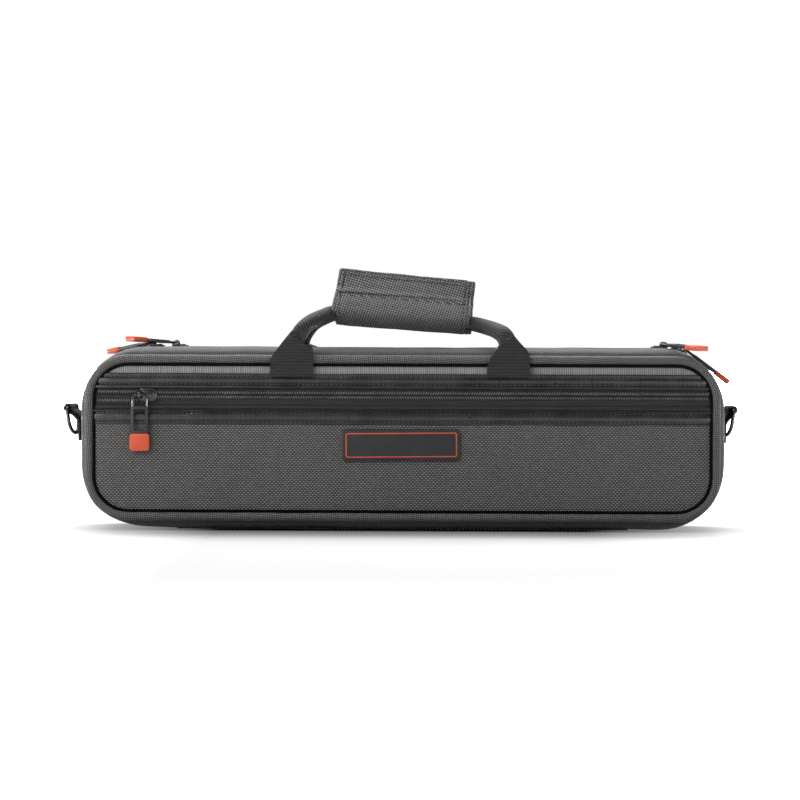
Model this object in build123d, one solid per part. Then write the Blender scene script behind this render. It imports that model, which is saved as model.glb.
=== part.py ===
"""Zip-around soft flute case: a padded box that stands on its hinge side, with a grip on top.

Frame, in millimetres: X runs along the case, -Y is the front, +Z is up, and the case stands on z = 0.
The case is three rings one behind the other: the lid in front, the core with the instrument insert,
and the rear door. A zipper runs between each two rings, and a sewn hinge joins them at the bottom.
"""
import os
from math import cos, radians, sin

from build123d import *

# ---------------------------------------------------------------- outline of the case
CREST_LENGTH = 453.6        # across the fullest part of the gusset
CREST_HEIGHT = 127.0
CREST_RADIUS = 45.0
HINGE_THICKNESS = 1.5       # sewn hinge panel, which the case stands on
PIPING_DIAMETER = 6.5
PIPING_INSET_SIDE = 6.85    # from the crest in to the centre line of the piping, at the ends
PIPING_INSET_TOP = 8.45     # the same at the top and bottom
PIPING_SHARPER = 17.25      # how much smaller its corner radius is than the crest's
PIPING_DEPTH = 42.0         # centre of the piping, from the middle of the case
GUSSET_LAP = 2.4            # the gusset ends this far inside the centre of the piping
HEM = 1.0                   # straight hem of the cloth, over the edge of the zipper tape
SHOULDER_STEPS = 4

# ---------------------------------------------------------------- cloth, board and foam
CLOTH = 1.2
TAPE = 0.8
PANEL_THICKNESS = 1.5
PANEL_PROUD = 2.0           # outer face of the front and back panels, past the centre of the piping
BOARD = 2.5
POCKET_DEPTH = 5.0
FOAM_WALL = 7.0             # from the crest to the inside of the case
LINING_DEPTH = 10.0
BACK_WALL = 9.0             # soft wall round the rear compartment
SEAM_GAP = 0.2

# ---------------------------------------------------------------- the two gusset zippers
LID_ZIP_Y = -17.0
DOOR_ZIP_Y = 19.0
ZIP_GAP = 0.6               # from the parting plane to each row of teeth
TEETH_WIDTH = 2.6
TEETH_OUTER = 0.4           # depth of the top of the teeth below the crest
TEETH_DEPTH = 2.2
TAPE_SHOWN = 7.0            # from the parting plane to the edge of the cloth
HINGE_INSET = 67.8          # from the end of the crest to the end of the hinge panel
ZIP_HIDDEN = 9.0            # length of zipper that lies over each end of the hinge panel

# ---------------------------------------------------------------- front pocket
BAND_THICKNESS = 1.2
POCKET_ZIP_RISE = 30.1      # above the middle of the case
UPPER_BAND_LOW = 4.6        # these heights are taken from the pocket zipper
UPPER_BAND_HIGH = 14.6
LIP_DROP = 6.7
LOWER_BAND_DROP = 10.4
LOWER_BAND_HEIGHT = 10.1
POCKET_TEETH_TOP = 0.3      # how far the teeth stand in front of the panel

# ---------------------------------------------------------------- sliders and pulls
SLIDER_LENGTH = 12.0
SLIDER_WIDTH = 9.0
SLIDER_CORNER = 2.25
PLATE = 1.15
PLATE_CLEARANCE = 0.45      # from the teeth to the plate above them
UNDER_CLEARANCE = 1.6       # from the teeth to the plate below, which also rides round the corners
POST_HALF = 0.4
POST_LENGTH = 3.0
BRIDGE_LENGTH = 5.6
BRIDGE_THICKNESS = 2.4
BRIDGE_TOP = 5.0            # above the crest
BRIDGE_CORNER = 1.65
EYE_HEIGHT = 3.2
EYE_OFFSET = 3.0            # from the middle of the slider
POCKET_EYE_OFFSET = 5.6     # its bridge reaches past the end of the slider
PULL_PIN_RADIUS = 0.8
EYE_CLEARANCE = 0.3
LINK_LENGTH = 8.0
LINK_WIRE = 1.6
PULL_WIDTH = 12.5
PULL_THICKNESS = 2.2
PULL_END = 27.3
PULL_CORNER = 2.5
PULL_SLOT_START = 10.2
PULL_SLOT_END = 25.6
PULL_SLOT_WIDTH = 7.4
TIP_LENGTH = 11.5
TIP_WIDTH = 13.5
TIP_THICKNESS = 3.4
TIP_CORNER = 3.4
TIP_EDGE = 0.85

# Where each slider is parked, and how its pull lies: turned about the slider, then tipped down.
POCKET_SLIDER_INSET = 38.4  # from the end of the panel
POCKET_PULL_TURN = -90.0
POCKET_PULL_TIP = 0.0
LID_SLIDER_INSET = 0.4      # from the start of the corner
LID_INNER_TURN = -50.0
LID_INNER_TIP = 4.5
LID_CORNER_ANGLE = 17.5     # how far round the corner the outer one is
LID_OUTER_TURN = 0.0
LID_OUTER_TIP = 19.5
DOOR_INNER_INSET = 20.4
DOOR_INNER_TURN = 217.0
DOOR_INNER_TIP = -4.0
DOOR_OUTER_INSET = 3.4
DOOR_OUTER_TURN = 145.0
DOOR_OUTER_TIP = 10.0

# ---------------------------------------------------------------- handle
WEBBING = 30.0
WEBBING_THICKNESS = 2.2
STRAP_LEFT_X = -77.4
STRAP_RIGHT_X = 74.2
STRAP_CLEARANCE = 0.2
STRAP_TOP_DROP = 2.5        # where the flat webbing begins to fold, below the top of the case
FOLD_RISE = 10.0
FOLD_SHIFT = 5.0            # how far the fold leans away from the grip
TUBE_RADIUS = 6.8
TUBE_BEND = 8.0
TUBE_LEAD = 9.0             # straight run of the tube beside the grip
GRIP_LENGTH = 94.5
GRIP_CENTRE_X = -1.2
GRIP_RISE = 21.7            # above the top of the case
GRIP_TILT = 4.8             # the right end is lower
CORE_HEIGHT = 14.0
CORE_THICKNESS = 6.0
CORE_INNER_Y = 1.0
CORE_ROOT = 4.0             # how far the two ends of the core reach into the tubes, together
WRAP_GAP = 0.3
WRAP_BOTTOM = -7.8          # heights across the grip, from the middle of the straps
WRAP_SHOULDER = 14.3
WRAP_TOP = 30.7
WRAP_BULGE = 9.5
WRAP_OVER_CORE = 1.4
FIN_THICKNESS = 2.6
TOUCH_TAPE = 1.15
TOUCH_TAPE_GAP = 0.15
TOUCH_TAPE_INSET = 2.0

# ---------------------------------------------------------------- D-rings, badge and insert
RING_WIRE = 3.0
RING_WIDTH = 21.5
RING_DROP = 18.0
RING_BAR_RISE = 19.8        # above the middle of the case
LEFT_RING_OUT = 10.8        # centre of the bar, out from the crest
RIGHT_RING_OUT = 6.4
RING_CLEARANCE = 0.4
TAB_WIDTH = 15.0
TAB_DROP = 4.0              # the tab ends this far below the middle of the case
TAB_WEBBING = 1.6
BADGE_LENGTH = 82.5
BADGE_HEIGHT = 22.5
BADGE_THICKNESS = 1.6
BADGE_X = -0.5
BADGE_DROP = 4.6            # below the middle of the case
BADGE_TILT = -0.6
BADGE_RADIUS = 2.5
BADGE_FRAME_INSET = 2.0
BADGE_FRAME_WIDTH = 0.9
BADGE_FRAME_PROUD = 0.25
INSERT_BACK = 14.0
DIVIDER = 3.0
CHANNEL_DEPTH = 24.0
CHANNEL_MARGIN = 17.3       # from the ends of the insert
BODY_CHANNEL_SPARE = 41.0   # solid foam past the end of the body joint
FOOT_CHANNEL_LENGTH = 151.0
CHANNEL_WALL = 30.0         # between the head joint and the foot joint
BODY_CHANNEL_LOW = -46.0    # these heights are taken from the middle of the case
BODY_CHANNEL_HIGH = -8.0
HEAD_CHANNEL_LOW = 10.0
HEAD_CHANNEL_HIGH = 42.0
RECESS_MARGIN = 40.3
RECESS_HALF_HEIGHT = 38.0
RECESS_DEPTH = 7.0

# ---------------------------------------------------------------- values worked out from the above
CENTRE_Z = HINGE_THICKNESS + CREST_HEIGHT / 2
TOP_Z = HINGE_THICKNESS + CREST_HEIGHT
CORNER_X = CREST_LENGTH / 2 - CREST_RADIUS
CORNER_Z = TOP_Z - CREST_RADIUS
PIPING_LENGTH = CREST_LENGTH - 2 * PIPING_INSET_SIDE
PIPING_HEIGHT = CREST_HEIGHT - 2 * PIPING_INSET_TOP
PIPING_RADIUS = CREST_RADIUS - PIPING_SHARPER
SEAM_LENGTH = PIPING_LENGTH - PIPING_DIAMETER
SEAM_HEIGHT = PIPING_HEIGHT - PIPING_DIAMETER
SEAM_RADIUS = PIPING_RADIUS - PIPING_DIAMETER / 2
SHOULDER_START = max(-LID_ZIP_Y, DOOR_ZIP_Y) + TAPE_SHOWN + HEM
GUSSET_END = PIPING_DEPTH - GUSSET_LAP
PANEL_FRONT = PIPING_DEPTH + PANEL_PROUD
PANEL_BACK = PANEL_FRONT - PANEL_THICKNESS
BOARD_FRONT = PANEL_BACK - POCKET_DEPTH
BOARD_BACK = BOARD_FRONT - BOARD
HINGE_HALF_LENGTH = CREST_LENGTH / 2 - HINGE_INSET
ZIP_END = HINGE_HALF_LENGTH - ZIP_HIDDEN
POCKET_ZIP_Z = CENTRE_Z + POCKET_ZIP_RISE
UPPER_BAND = (POCKET_ZIP_Z + UPPER_BAND_LOW, POCKET_ZIP_Z + UPPER_BAND_HIGH)
LIP_TOP = POCKET_ZIP_Z - LIP_DROP
LOWER_BAND = (POCKET_ZIP_Z - LOWER_BAND_DROP - LOWER_BAND_HEIGHT, POCKET_ZIP_Z - LOWER_BAND_DROP)
STRAP_TOP = TOP_Z - STRAP_TOP_DROP
GRIP_CENTRE_Z = TOP_Z + GRIP_RISE
RING_BAR_Z = CENTRE_Z + RING_BAR_RISE
RING_Y = (LID_ZIP_Y + DOOR_ZIP_Y) / 2
TAB_BOTTOM = CENTRE_Z - TAB_DROP
BADGE_CENTRE = (BADGE_X, CENTRE_Z - BADGE_DROP)
INSERT_END = CREST_LENGTH / 2 - FOAM_WALL
CHANNEL_END = INSERT_END - CHANNEL_MARGIN
TOUCH = 0.01
PAST = 1.0                  # how far a cut runs past the surface it opens
BEYOND = 2 * CREST_LENGTH   # reaches past the case on every side

os.makedirs("parts", exist_ok=True)


def save(name, shape):
    """Write one node and print its volume."""
    export_step(shape, f"parts/{name}.step")
    print(f"{name:26s} {shape.volume / 1000:9.3f} cm3")


def slab(sketch, front, back, centre=(0, CENTRE_Z)):
    """Extrude an XZ sketch between two depths, where front is the smaller y."""
    plane = Plane(origin=(centre[0], back, centre[1]), x_dir=(1, 0, 0), z_dir=(0, -1, 0))
    return extrude(plane * sketch, back - front)


def box_between(x_range, y_range, z_range):
    """Box from its two ends along each axis."""
    size = [high - low for low, high in (x_range, y_range, z_range)]
    middle = [(high + low) / 2 for low, high in (x_range, y_range, z_range)]
    return Pos(*middle) * Box(*size)


def crest(offset):
    """Outline of the gusset, moved outwards by offset."""
    return RectangleRounded(CREST_LENGTH + 2 * offset, CREST_HEIGHT + 2 * offset, CREST_RADIUS + offset)


def crest_ring(front, back, outer, inner):
    """Straight part of the gusset between two depths and two offsets from the crest."""
    return slab(crest(outer), front, back) - slab(crest(inner), front - PAST, back + PAST)


def shoulder_outline(share, inset):
    """Outline a given share of the way round from the crest to the edge of the piping."""
    turn = radians(90 * share)
    depth = SHOULDER_START + (GUSSET_END - SHOULDER_START) * sin(turn)
    fall = 1 - cos(turn)
    length = CREST_LENGTH + (PIPING_LENGTH + PIPING_DIAMETER - CREST_LENGTH) * fall
    height = CREST_HEIGHT + (PIPING_HEIGHT + PIPING_DIAMETER - CREST_HEIGHT) * fall
    radius = CREST_RADIUS + (PIPING_RADIUS + PIPING_DIAMETER / 2 - CREST_RADIUS) * fall
    return depth, (length - 2 * inset, height - 2 * inset, radius - inset)


def shoulder_solid(side, inset):
    """The turned-in end of a gusset as a filled solid, on side -1 in front or +1 behind."""
    pieces = []
    for step in range(SHOULDER_STEPS):
        ends = [shoulder_outline(share / SHOULDER_STEPS, inset) for share in (step, step + 1)]
        faces = []
        for depth, shape in ends:
            plane = Plane(origin=(0, side * depth, CENTRE_Z), x_dir=(1, 0, 0), z_dir=(0, -1, 0))
            faces.append(plane * RectangleRounded(*shape))
        pieces.append(loft(faces, ruled=True))
    solid = pieces[0]
    for piece in pieces[1:]:
        solid = solid + piece
    return solid


def outline_path(length, height, radius, depth):
    """Closed path round a rounded rectangle at one depth, from the middle of its top edge."""
    half_x = length / 2
    half_z = height / 2
    top = CENTRE_Z + half_z
    low = CENTRE_Z - half_z
    flat_x = half_x - radius
    corners = [(flat_x, top - radius, 90), (flat_x, low + radius, 0),
               (-flat_x, low + radius, -90), (-flat_x, top - radius, 180)]
    edges = []
    last = Vector(0, depth, top)
    first = last
    for x, z, start in corners:
        angles = [radians(start - turn) for turn in (0, 45, 90)]
        points = [Vector(x + radius * cos(angle), depth, z + radius * sin(angle)) for angle in angles]
        edges.append(Edge.make_line(last, points[0]))
        edges.append(Edge.make_three_point_arc(*points))
        last = points[2]
    edges.append(Edge.make_line(last, first))
    return Wire(edges)


def piping(side):
    """Cord-filled piping round one panel."""
    depth = side * PIPING_DEPTH
    path = outline_path(PIPING_LENGTH, PIPING_HEIGHT, PIPING_RADIUS, depth)
    start = Plane(origin=(0, depth, CENTRE_Z + PIPING_HEIGHT / 2), x_dir=(0, 1, 0), z_dir=(1, 0, 0))
    return sweep(start * Circle(PIPING_DIAMETER / 2), path=path)


def zip_stop():
    """The stretch of the bottom where the hinge panel takes the place of the zippers."""
    return box_between((-ZIP_END, ZIP_END), (-BEYOND, BEYOND), (-BEYOND, HINGE_THICKNESS + FOAM_WALL))


def gusset(side, zip_y, cord):
    """Cloth ring of the lid (side -1) or the rear door (side +1), sewn to its piping."""
    edge = zip_y + side * TAPE_SHOWN
    straight = crest_ring(*sorted((edge, side * SHOULDER_START)), 0, -CLOTH)
    turned = shoulder_solid(side, 0) - shoulder_solid(side, CLOTH)
    return straight + turned - cord


def zip_rows(zip_y, side):
    """Tape and teeth of one half of a zipper, on side -1 or +1 of its parting plane."""
    teeth_near = zip_y + side * ZIP_GAP
    teeth_far = teeth_near + side * TEETH_WIDTH
    tape_far = zip_y + side * (TAPE_SHOWN + HEM)
    teeth = crest_ring(*sorted((teeth_near, teeth_far)), -TEETH_OUTER, -TEETH_OUTER - TEETH_DEPTH)
    tape = crest_ring(*sorted((teeth_far, tape_far)), -CLOTH, -CLOTH - TAPE)
    return tape - zip_stop(), teeth - zip_stop()


def hinge_strip(low, high, cloth_low, cloth_high):
    """One leaf of the sewn hinge: the panel under the case and the cloth that fills the zipper's place."""
    panel = box_between((-HINGE_HALF_LENGTH, HINGE_HALF_LENGTH), (low, high), (0, HINGE_THICKNESS))
    layers = [panel]
    for near, far in zip(cloth_low, cloth_high):
        top = HINGE_THICKNESS + CLOTH
        layers.append(box_between((-ZIP_END, ZIP_END), (near, far), (HINGE_THICKNESS - TOUCH, top)))
    leaf = layers[0]
    for layer in layers[1:]:
        leaf = leaf + layer
    return leaf


# ---------------------------------------------------------------- sliders and pulls
def slider(eye_x, turn):
    """Zip slider lying on the crest: X along the zipper, Z outwards, its eye turned."""
    under_top = -TEETH_OUTER - TEETH_DEPTH - UNDER_CLEARANCE
    over_low = -TEETH_OUTER + PLATE_CLEARANCE
    top = Pos(0, 0, over_low + PLATE / 2) * Box(SLIDER_LENGTH, SLIDER_WIDTH, PLATE)
    top = fillet(top.edges().filter_by(Axis.Z), SLIDER_CORNER)
    under = Pos(0, 0, under_top - PLATE / 2) * Box(SLIDER_LENGTH, SLIDER_WIDTH, PLATE)
    under = fillet(under.edges().filter_by(Axis.Z), SLIDER_CORNER)
    post_height = over_low - under_top + PLATE
    post = Pos(0, 0, (over_low + under_top) / 2) * Box(POST_LENGTH, 2 * POST_HALF, post_height)
    rise = BRIDGE_TOP - over_low
    bridge = Pos(0, 0, over_low + rise / 2) * Box(BRIDGE_LENGTH, BRIDGE_THICKNESS, rise)
    bridge = fillet(bridge.edges().filter_by(Axis.Y).sort_by(Axis.Z)[-2:], BRIDGE_CORNER)
    eye_radius = PULL_PIN_RADIUS + EYE_CLEARANCE
    eye = Pos(0, 0, EYE_HEIGHT) * Rot(90, 0, 0) * Cylinder(eye_radius, 2 * BRIDGE_THICKNESS)
    bridge = bridge - eye
    return top + under + post + Pos(eye_x, 0, 0) * Rot(0, 0, turn) * bridge


def pull():
    """Link and open moulded frame of a pull, from its pin at the origin along +X."""
    arm_y = (PULL_WIDTH - LINK_WIRE) / 2 - SEAM_GAP
    pin = Rot(90, 0, 0) * Cylinder(PULL_PIN_RADIUS, 2 * arm_y)
    link = pin
    for side in (-1, 1):
        arm = Pos(0, side * arm_y, 0) * Rot(0, 90, 0) * Cylinder(LINK_WIRE / 2, LINK_LENGTH + 1)
        link = link + Pos((LINK_LENGTH + 1) / 2, 0, 0) * arm
        link = link + Pos(0, side * arm_y, 0) * Sphere(LINK_WIRE / 2)
    body_length = PULL_END - LINK_LENGTH
    body = Pos(LINK_LENGTH + body_length / 2, 0, 0) * Box(body_length, PULL_WIDTH, PULL_THICKNESS)
    body = fillet(body.edges().filter_by(Axis.Z).sort_by(Axis.X)[:2], PULL_CORNER)
    slot = Box(PULL_SLOT_END - PULL_SLOT_START, PULL_SLOT_WIDTH, 2 * PULL_THICKNESS)
    return link + body - Pos((PULL_SLOT_START + PULL_SLOT_END) / 2, 0, 0) * slot


def pull_tip():
    """Coloured end cap of a pull, past the end of its body."""
    tip = Pos(PULL_END + TIP_LENGTH / 2, 0, 0) * Box(TIP_LENGTH, TIP_WIDTH, TIP_THICKNESS)
    tip = fillet(tip.edges().filter_by(Axis.Z).sort_by(Axis.X)[-2:], TIP_CORNER)
    return fillet(tip.edges().filter_by(Axis.Y), TIP_EDGE)


def on_top(side, inset, zip_y):
    """Place on the top of the case over a zipper, in from the left (-1) or right (+1) corner."""
    return Pos(side * (CORNER_X - inset), zip_y, TOP_Z)


def on_corner(side, angle, zip_y):
    """Place on the top left (side -1) or right (side +1) corner, turned down by angle."""
    return Pos(side * CORNER_X, zip_y, CORNER_Z) * Rot(0, side * angle, 0) * Pos(0, 0, CREST_RADIUS)


def zip_fitting(name, place, eye_x, turn, tip):
    """Slider, pull and tip of one zipper end."""
    save(f"slider_{name}", place * slider(eye_x, turn))
    hang = place * Pos(eye_x, 0, EYE_HEIGHT) * Rot(0, 0, turn) * Rot(0, tip, 0)
    save(f"pull_{name}", hang * pull())
    save(f"pull_tip_{name}", hang * pull_tip())
    pivot = hang.position
    axis = Plane(hang).y_dir
    print(f"  pivot {pivot.X:.3f} {pivot.Y:.3f} {pivot.Z:.3f} axis {axis.X:.5f} {axis.Y:.5f} {axis.Z:.5f}")


# ---------------------------------------------------------------- handle
def grip_place():
    """Middle of the grip, turned down to the right."""
    return Pos(GRIP_CENTRE_X, 0, GRIP_CENTRE_Z) * Rot(0, GRIP_TILT, 0)


def strap_leg(x, hand, side):
    """Flat webbing on the panel and the rounded part that rises from it to the grip."""
    outer = PIPING_DEPTH + PIPING_DIAMETER / 2 + STRAP_CLEARANCE + WEBBING_THICKNESS
    inner = outer - WEBBING_THICKNESS
    fold_x = x - hand * FOLD_SHIFT
    fold_z = STRAP_TOP + FOLD_RISE
    flat = Polyline((x - WEBBING / 2, UPPER_BAND[1]), (x + WEBBING / 2, UPPER_BAND[1]),
                    (x + WEBBING / 2, STRAP_TOP), (fold_x + TUBE_RADIUS, fold_z),
                    (fold_x - TUBE_RADIUS, fold_z), (x - WEBBING / 2, STRAP_TOP), close=True)
    depths = sorted((side * outer, side * inner))
    webbing = slab(make_face(flat), *depths, centre=(0, 0))
    end = grip_place() * Pos(hand * (GRIP_LENGTH / 2 + 2 * WRAP_GAP), 0, 0)
    core_y = side * (CORE_INNER_Y + TUBE_RADIUS)
    middle_y = side * (outer - WEBBING_THICKNESS / 2)
    end_point = Vector(end.position.X, core_y, end.position.Z)
    lead = grip_place() * Pos(hand * (GRIP_LENGTH / 2 + TUBE_LEAD), 0, 0)
    lead_point = Vector(lead.position.X, core_y, lead.position.Z)
    points = [Vector(x - hand * FOLD_SHIFT / 2, middle_y, STRAP_TOP),
              Vector(fold_x, middle_y, fold_z), lead_point, end_point]
    path = FilletPolyline(*points, radius=TUBE_BEND)
    start = Plane(origin=path @ 0, z_dir=path % 0)
    return webbing + sweep(start * Circle(TUBE_RADIUS), path=path)


def strap(side):
    """Whole handle strap: two legs and the flat core that the wrap closes over."""
    length = GRIP_LENGTH + 4 * WRAP_GAP + CORE_ROOT
    core_y = side * (CORE_INNER_Y + CORE_THICKNESS / 2)
    core = grip_place() * Pos(0, core_y, 0) * Box(length, CORE_THICKNESS, CORE_HEIGHT)
    return core + strap_leg(STRAP_LEFT_X, -1, side) + strap_leg(STRAP_RIGHT_X, 1, side)


def grip_wrap(side):
    """Half of the padded wrap: a rounded pad beside the core with a flat fin above it."""
    back = CORE_INNER_Y + CORE_THICKNESS + WRAP_GAP
    near = TOUCH_TAPE_GAP + TOUCH_TAPE
    over = CORE_HEIGHT / 2 + WRAP_OVER_CORE
    fin_y = near + FIN_THICKNESS
    middle = (WRAP_BOTTOM + WRAP_SHOULDER) / 2
    with BuildSketch(Plane.YZ) as section:
        with BuildLine():
            Line((back, over), (back, WRAP_BOTTOM))
            ThreePointArc((back, WRAP_BOTTOM), (back + WRAP_BULGE, middle), (fin_y, WRAP_SHOULDER))
            Line((fin_y, WRAP_SHOULDER), (fin_y, WRAP_TOP))
            Line((fin_y, WRAP_TOP), (near, WRAP_TOP))
            Line((near, WRAP_TOP), (near, over))
            Line((near, over), (back, over))
        make_face()
    half = extrude(section.sketch, GRIP_LENGTH / 2, both=True)
    if side < 0:
        half = half.mirror(Plane.XZ)
    return grip_place() * half


def touch_tape(side):
    """Hook or loop tape inside the fin of one half of the wrap."""
    y = side * (TOUCH_TAPE_GAP + TOUCH_TAPE / 2)
    low = WRAP_SHOULDER
    height = WRAP_TOP - low - 2 * SEAM_GAP
    tape = Box(GRIP_LENGTH - 2 * TOUCH_TAPE_INSET, TOUCH_TAPE, height)
    return grip_place() * Pos(0, y, low + height / 2) * tape


# ---------------------------------------------------------------- D-rings
def bar_out(side):
    """How far the bar of a ring stands out from the crest, on side -1 or +1."""
    return LEFT_RING_OUT if side < 0 else RIGHT_RING_OUT


def d_ring(side):
    """D-ring that hangs from its straight bar."""
    half = (RING_WIDTH - RING_WIRE) / 2
    leg = RING_DROP - half
    wire = RING_WIRE / 2
    ring = Rot(90, 0, 0) * Cylinder(wire, 2 * half)
    for hand in (-1, 1):
        ring = ring + Pos(0, hand * half, 0) * Sphere(wire)
        ring = ring + Pos(0, hand * half, -leg / 2) * Cylinder(wire, leg)
    profile = Plane(origin=(0, half, -leg), x_dir=(0, 1, 0), z_dir=(0, 0, 1)) * Circle(wire)
    bow = revolve(profile, axis=Axis((0, 0, -leg), (1, 0, 0)), revolution_arc=-180)
    place = Pos(side * (CREST_LENGTH / 2 + bar_out(side)), RING_Y, RING_BAR_Z)
    return place * (ring + bow)


def ring_tab(side):
    """Webbing tab on the end of the case, looped round the bar of its D-ring."""
    out = bar_out(side)
    bore = RING_WIRE / 2 + RING_CLEARANCE
    outer = bore + TAB_WEBBING
    loop = Circle(outer)
    leaf = Pos(-out / 2, 0) * Rectangle(out - TAB_WEBBING, 2 * TAB_WEBBING)
    section = loop + leaf
    back = Pos(-out + TAB_WEBBING, (TAB_BOTTOM - RING_BAR_Z) / 2) * Rectangle(
        2 * TAB_WEBBING, RING_BAR_Z - TAB_BOTTOM + outer)
    section = section + back - Circle(bore)
    half_plane = Pos(-out - RING_WIDTH / 2, 0) * Rectangle(RING_WIDTH, BEYOND)
    section = section - half_plane
    plane = Plane(origin=(0, TAB_WIDTH / 2, 0), x_dir=(1, 0, 0), z_dir=(0, -1, 0))
    tab = extrude(plane * section, TAB_WIDTH)
    if side < 0:
        tab = tab.mirror(Plane.YZ)
    return Pos(side * (CREST_LENGTH / 2 + bar_out(side)), RING_Y, RING_BAR_Z) * tab


# ---------------------------------------------------------------- front panel
def panel_piece(low, high, front, back, gap=0):
    """Piece of the flat panel between two heights, inside the piping and a gap away from it."""
    outline = RectangleRounded(SEAM_LENGTH - 2 * gap, SEAM_HEIGHT - 2 * gap, SEAM_RADIUS - gap)
    panel = slab(outline, front, back)
    return panel & box_between((-BEYOND, BEYOND), (front - PAST, back + PAST), (low, high))


def build_front():
    """Panels, bands and pocket zipper on the front of the lid."""
    face = -PANEL_FRONT
    inside = -PANEL_BACK
    band_face = face - BAND_THICKNESS
    save("front_panel_lower", panel_piece(-BEYOND, LOWER_BAND[1], face, inside))
    save("front_panel_upper", panel_piece(UPPER_BAND[0], BEYOND, face, inside))
    save("upper_trim_band", panel_piece(*UPPER_BAND, band_face, face))
    save("lower_trim_band", panel_piece(*LOWER_BAND, band_face, face))
    save("pocket_lip", panel_piece(LOWER_BAND[1], LIP_TOP, face, inside))
    teeth_low = POCKET_ZIP_Z - ZIP_GAP - TEETH_WIDTH
    teeth_high = POCKET_ZIP_Z + ZIP_GAP + TEETH_WIDTH
    teeth_face = face - POCKET_TEETH_TOP
    depths = (teeth_face, teeth_face + TEETH_DEPTH, SEAM_GAP)
    save("pocket_teeth_lower", panel_piece(teeth_low, POCKET_ZIP_Z - ZIP_GAP, *depths))
    save("pocket_teeth_upper", panel_piece(POCKET_ZIP_Z + ZIP_GAP, teeth_high, *depths))
    tape_face = face + TAPE / 2
    save("pocket_tape_lower", panel_piece(LIP_TOP, teeth_low, tape_face, tape_face + TAPE))
    save("pocket_tape_upper", panel_piece(teeth_high, UPPER_BAND[0], tape_face, tape_face + TAPE))


def build_badge():
    """Plain raised badge with a thin frame let into its face."""
    frame_length = BADGE_LENGTH - 2 * BADGE_FRAME_INSET
    frame_height = BADGE_HEIGHT - 2 * BADGE_FRAME_INSET
    thin = 2 * BADGE_FRAME_WIDTH
    hole = RectangleRounded(frame_length - thin, frame_height - thin, BADGE_RADIUS - BADGE_FRAME_WIDTH)
    frame = Rot(0, 0, BADGE_TILT) * (RectangleRounded(frame_length, frame_height, BADGE_RADIUS) - hole)
    plate = Rot(0, 0, BADGE_TILT) * RectangleRounded(BADGE_LENGTH, BADGE_HEIGHT, BADGE_RADIUS)
    back = -PANEL_FRONT
    face = back - BADGE_THICKNESS
    groove = face + BADGE_FRAME_WIDTH
    base = slab(plate, face, back, BADGE_CENTRE) - slab(frame, face - PAST, groove, BADGE_CENTRE)
    save("badge_base", base)
    save("badge_frame", slab(frame, face - BADGE_FRAME_PROUD, groove, BADGE_CENTRE))


def build_lid():
    """The front ring of the case."""
    cord = piping(-1)
    save("front_piping", cord)
    save("lid_gusset", gusset(-1, LID_ZIP_Y, cord))
    tape, teeth = zip_rows(LID_ZIP_Y, -1)
    save("lid_zip_tape", tape)
    save("lid_zip_teeth", teeth)
    inner = -(CLOTH + TAPE)
    save("lid_board", slab(crest(-FOAM_WALL), -BOARD_FRONT, -BOARD_BACK))
    fold = LID_ZIP_Y - TAPE_SHOWN
    lining = slab(crest(-FOAM_WALL), -BOARD_BACK, -BOARD_BACK + LINING_DEPTH)
    rim = slab(crest(inner), -SHOULDER_START - CLOTH, fold - TOUCH)
    recess_end = INSERT_END - RECESS_MARGIN
    recess_floor = -BOARD_BACK + LINING_DEPTH - RECESS_DEPTH
    heights = (CENTRE_Z - RECESS_HALF_HEIGHT, CENTRE_Z + RECESS_HALF_HEIGHT)
    recess = box_between((-recess_end, recess_end), (recess_floor, LID_ZIP_Y), heights)
    recess = fillet(recess.edges().filter_by(Axis.Y), FOAM_WALL)
    save("lid_lining", lining + rim - recess)
    zip_edge = LID_ZIP_Y - ZIP_GAP / 2
    save("lid_hinge_leaf", hinge_strip(-SHOULDER_START, zip_edge, [fold], [zip_edge]))


def channel(left, right, low, high):
    """Channel in the insert for one joint of the instrument, with heights from the middle of the case."""
    front = LID_ZIP_Y + ZIP_GAP
    depths = (front - PAST, front + CHANNEL_DEPTH)
    hollow = box_between((left, right), depths, (CENTRE_Z + low, CENTRE_Z + high))
    return fillet(hollow.edges().filter_by(Axis.Y), (high - low) / 3)


def build_core():
    """The middle ring, with the insert that holds the instrument."""
    low = LID_ZIP_Y + TAPE_SHOWN
    high = DOOR_ZIP_Y - TAPE_SHOWN
    save("core_gusset", crest_ring(low, high, 0, -CLOTH))
    for name, zip_y, side in (("core_front", LID_ZIP_Y, 1), ("core_rear", DOOR_ZIP_Y, -1)):
        tape, teeth = zip_rows(zip_y, side)
        save(f"{name}_zip_tape", tape)
        save(f"{name}_zip_teeth", teeth)
    front = LID_ZIP_Y + ZIP_GAP
    block = slab(crest(-FOAM_WALL), front, INSERT_BACK)
    block = block + slab(crest(-CLOTH - TAPE), low, high)
    body_end = CHANNEL_END - BODY_CHANNEL_SPARE
    foot_start = CHANNEL_END - FOOT_CHANNEL_LENGTH
    block = block - channel(-CHANNEL_END, body_end, BODY_CHANNEL_LOW, BODY_CHANNEL_HIGH)
    block = block - channel(-CHANNEL_END, foot_start - CHANNEL_WALL, HEAD_CHANNEL_LOW, HEAD_CHANNEL_HIGH)
    block = block - channel(foot_start, CHANNEL_END, HEAD_CHANNEL_LOW, HEAD_CHANNEL_HIGH)
    save("instrument_insert", block)
    save("divider_board", slab(crest(-FOAM_WALL), INSERT_BACK, INSERT_BACK + DIVIDER))
    front_edge = LID_ZIP_Y + ZIP_GAP / 2
    rear_edge = DOOR_ZIP_Y - ZIP_GAP / 2
    save("core_hinge_leaf", hinge_strip(front_edge, rear_edge, [front_edge, high], [low, rear_edge]))
    save("ring_tab_left", ring_tab(-1))
    save("ring_tab_right", ring_tab(1))


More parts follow.
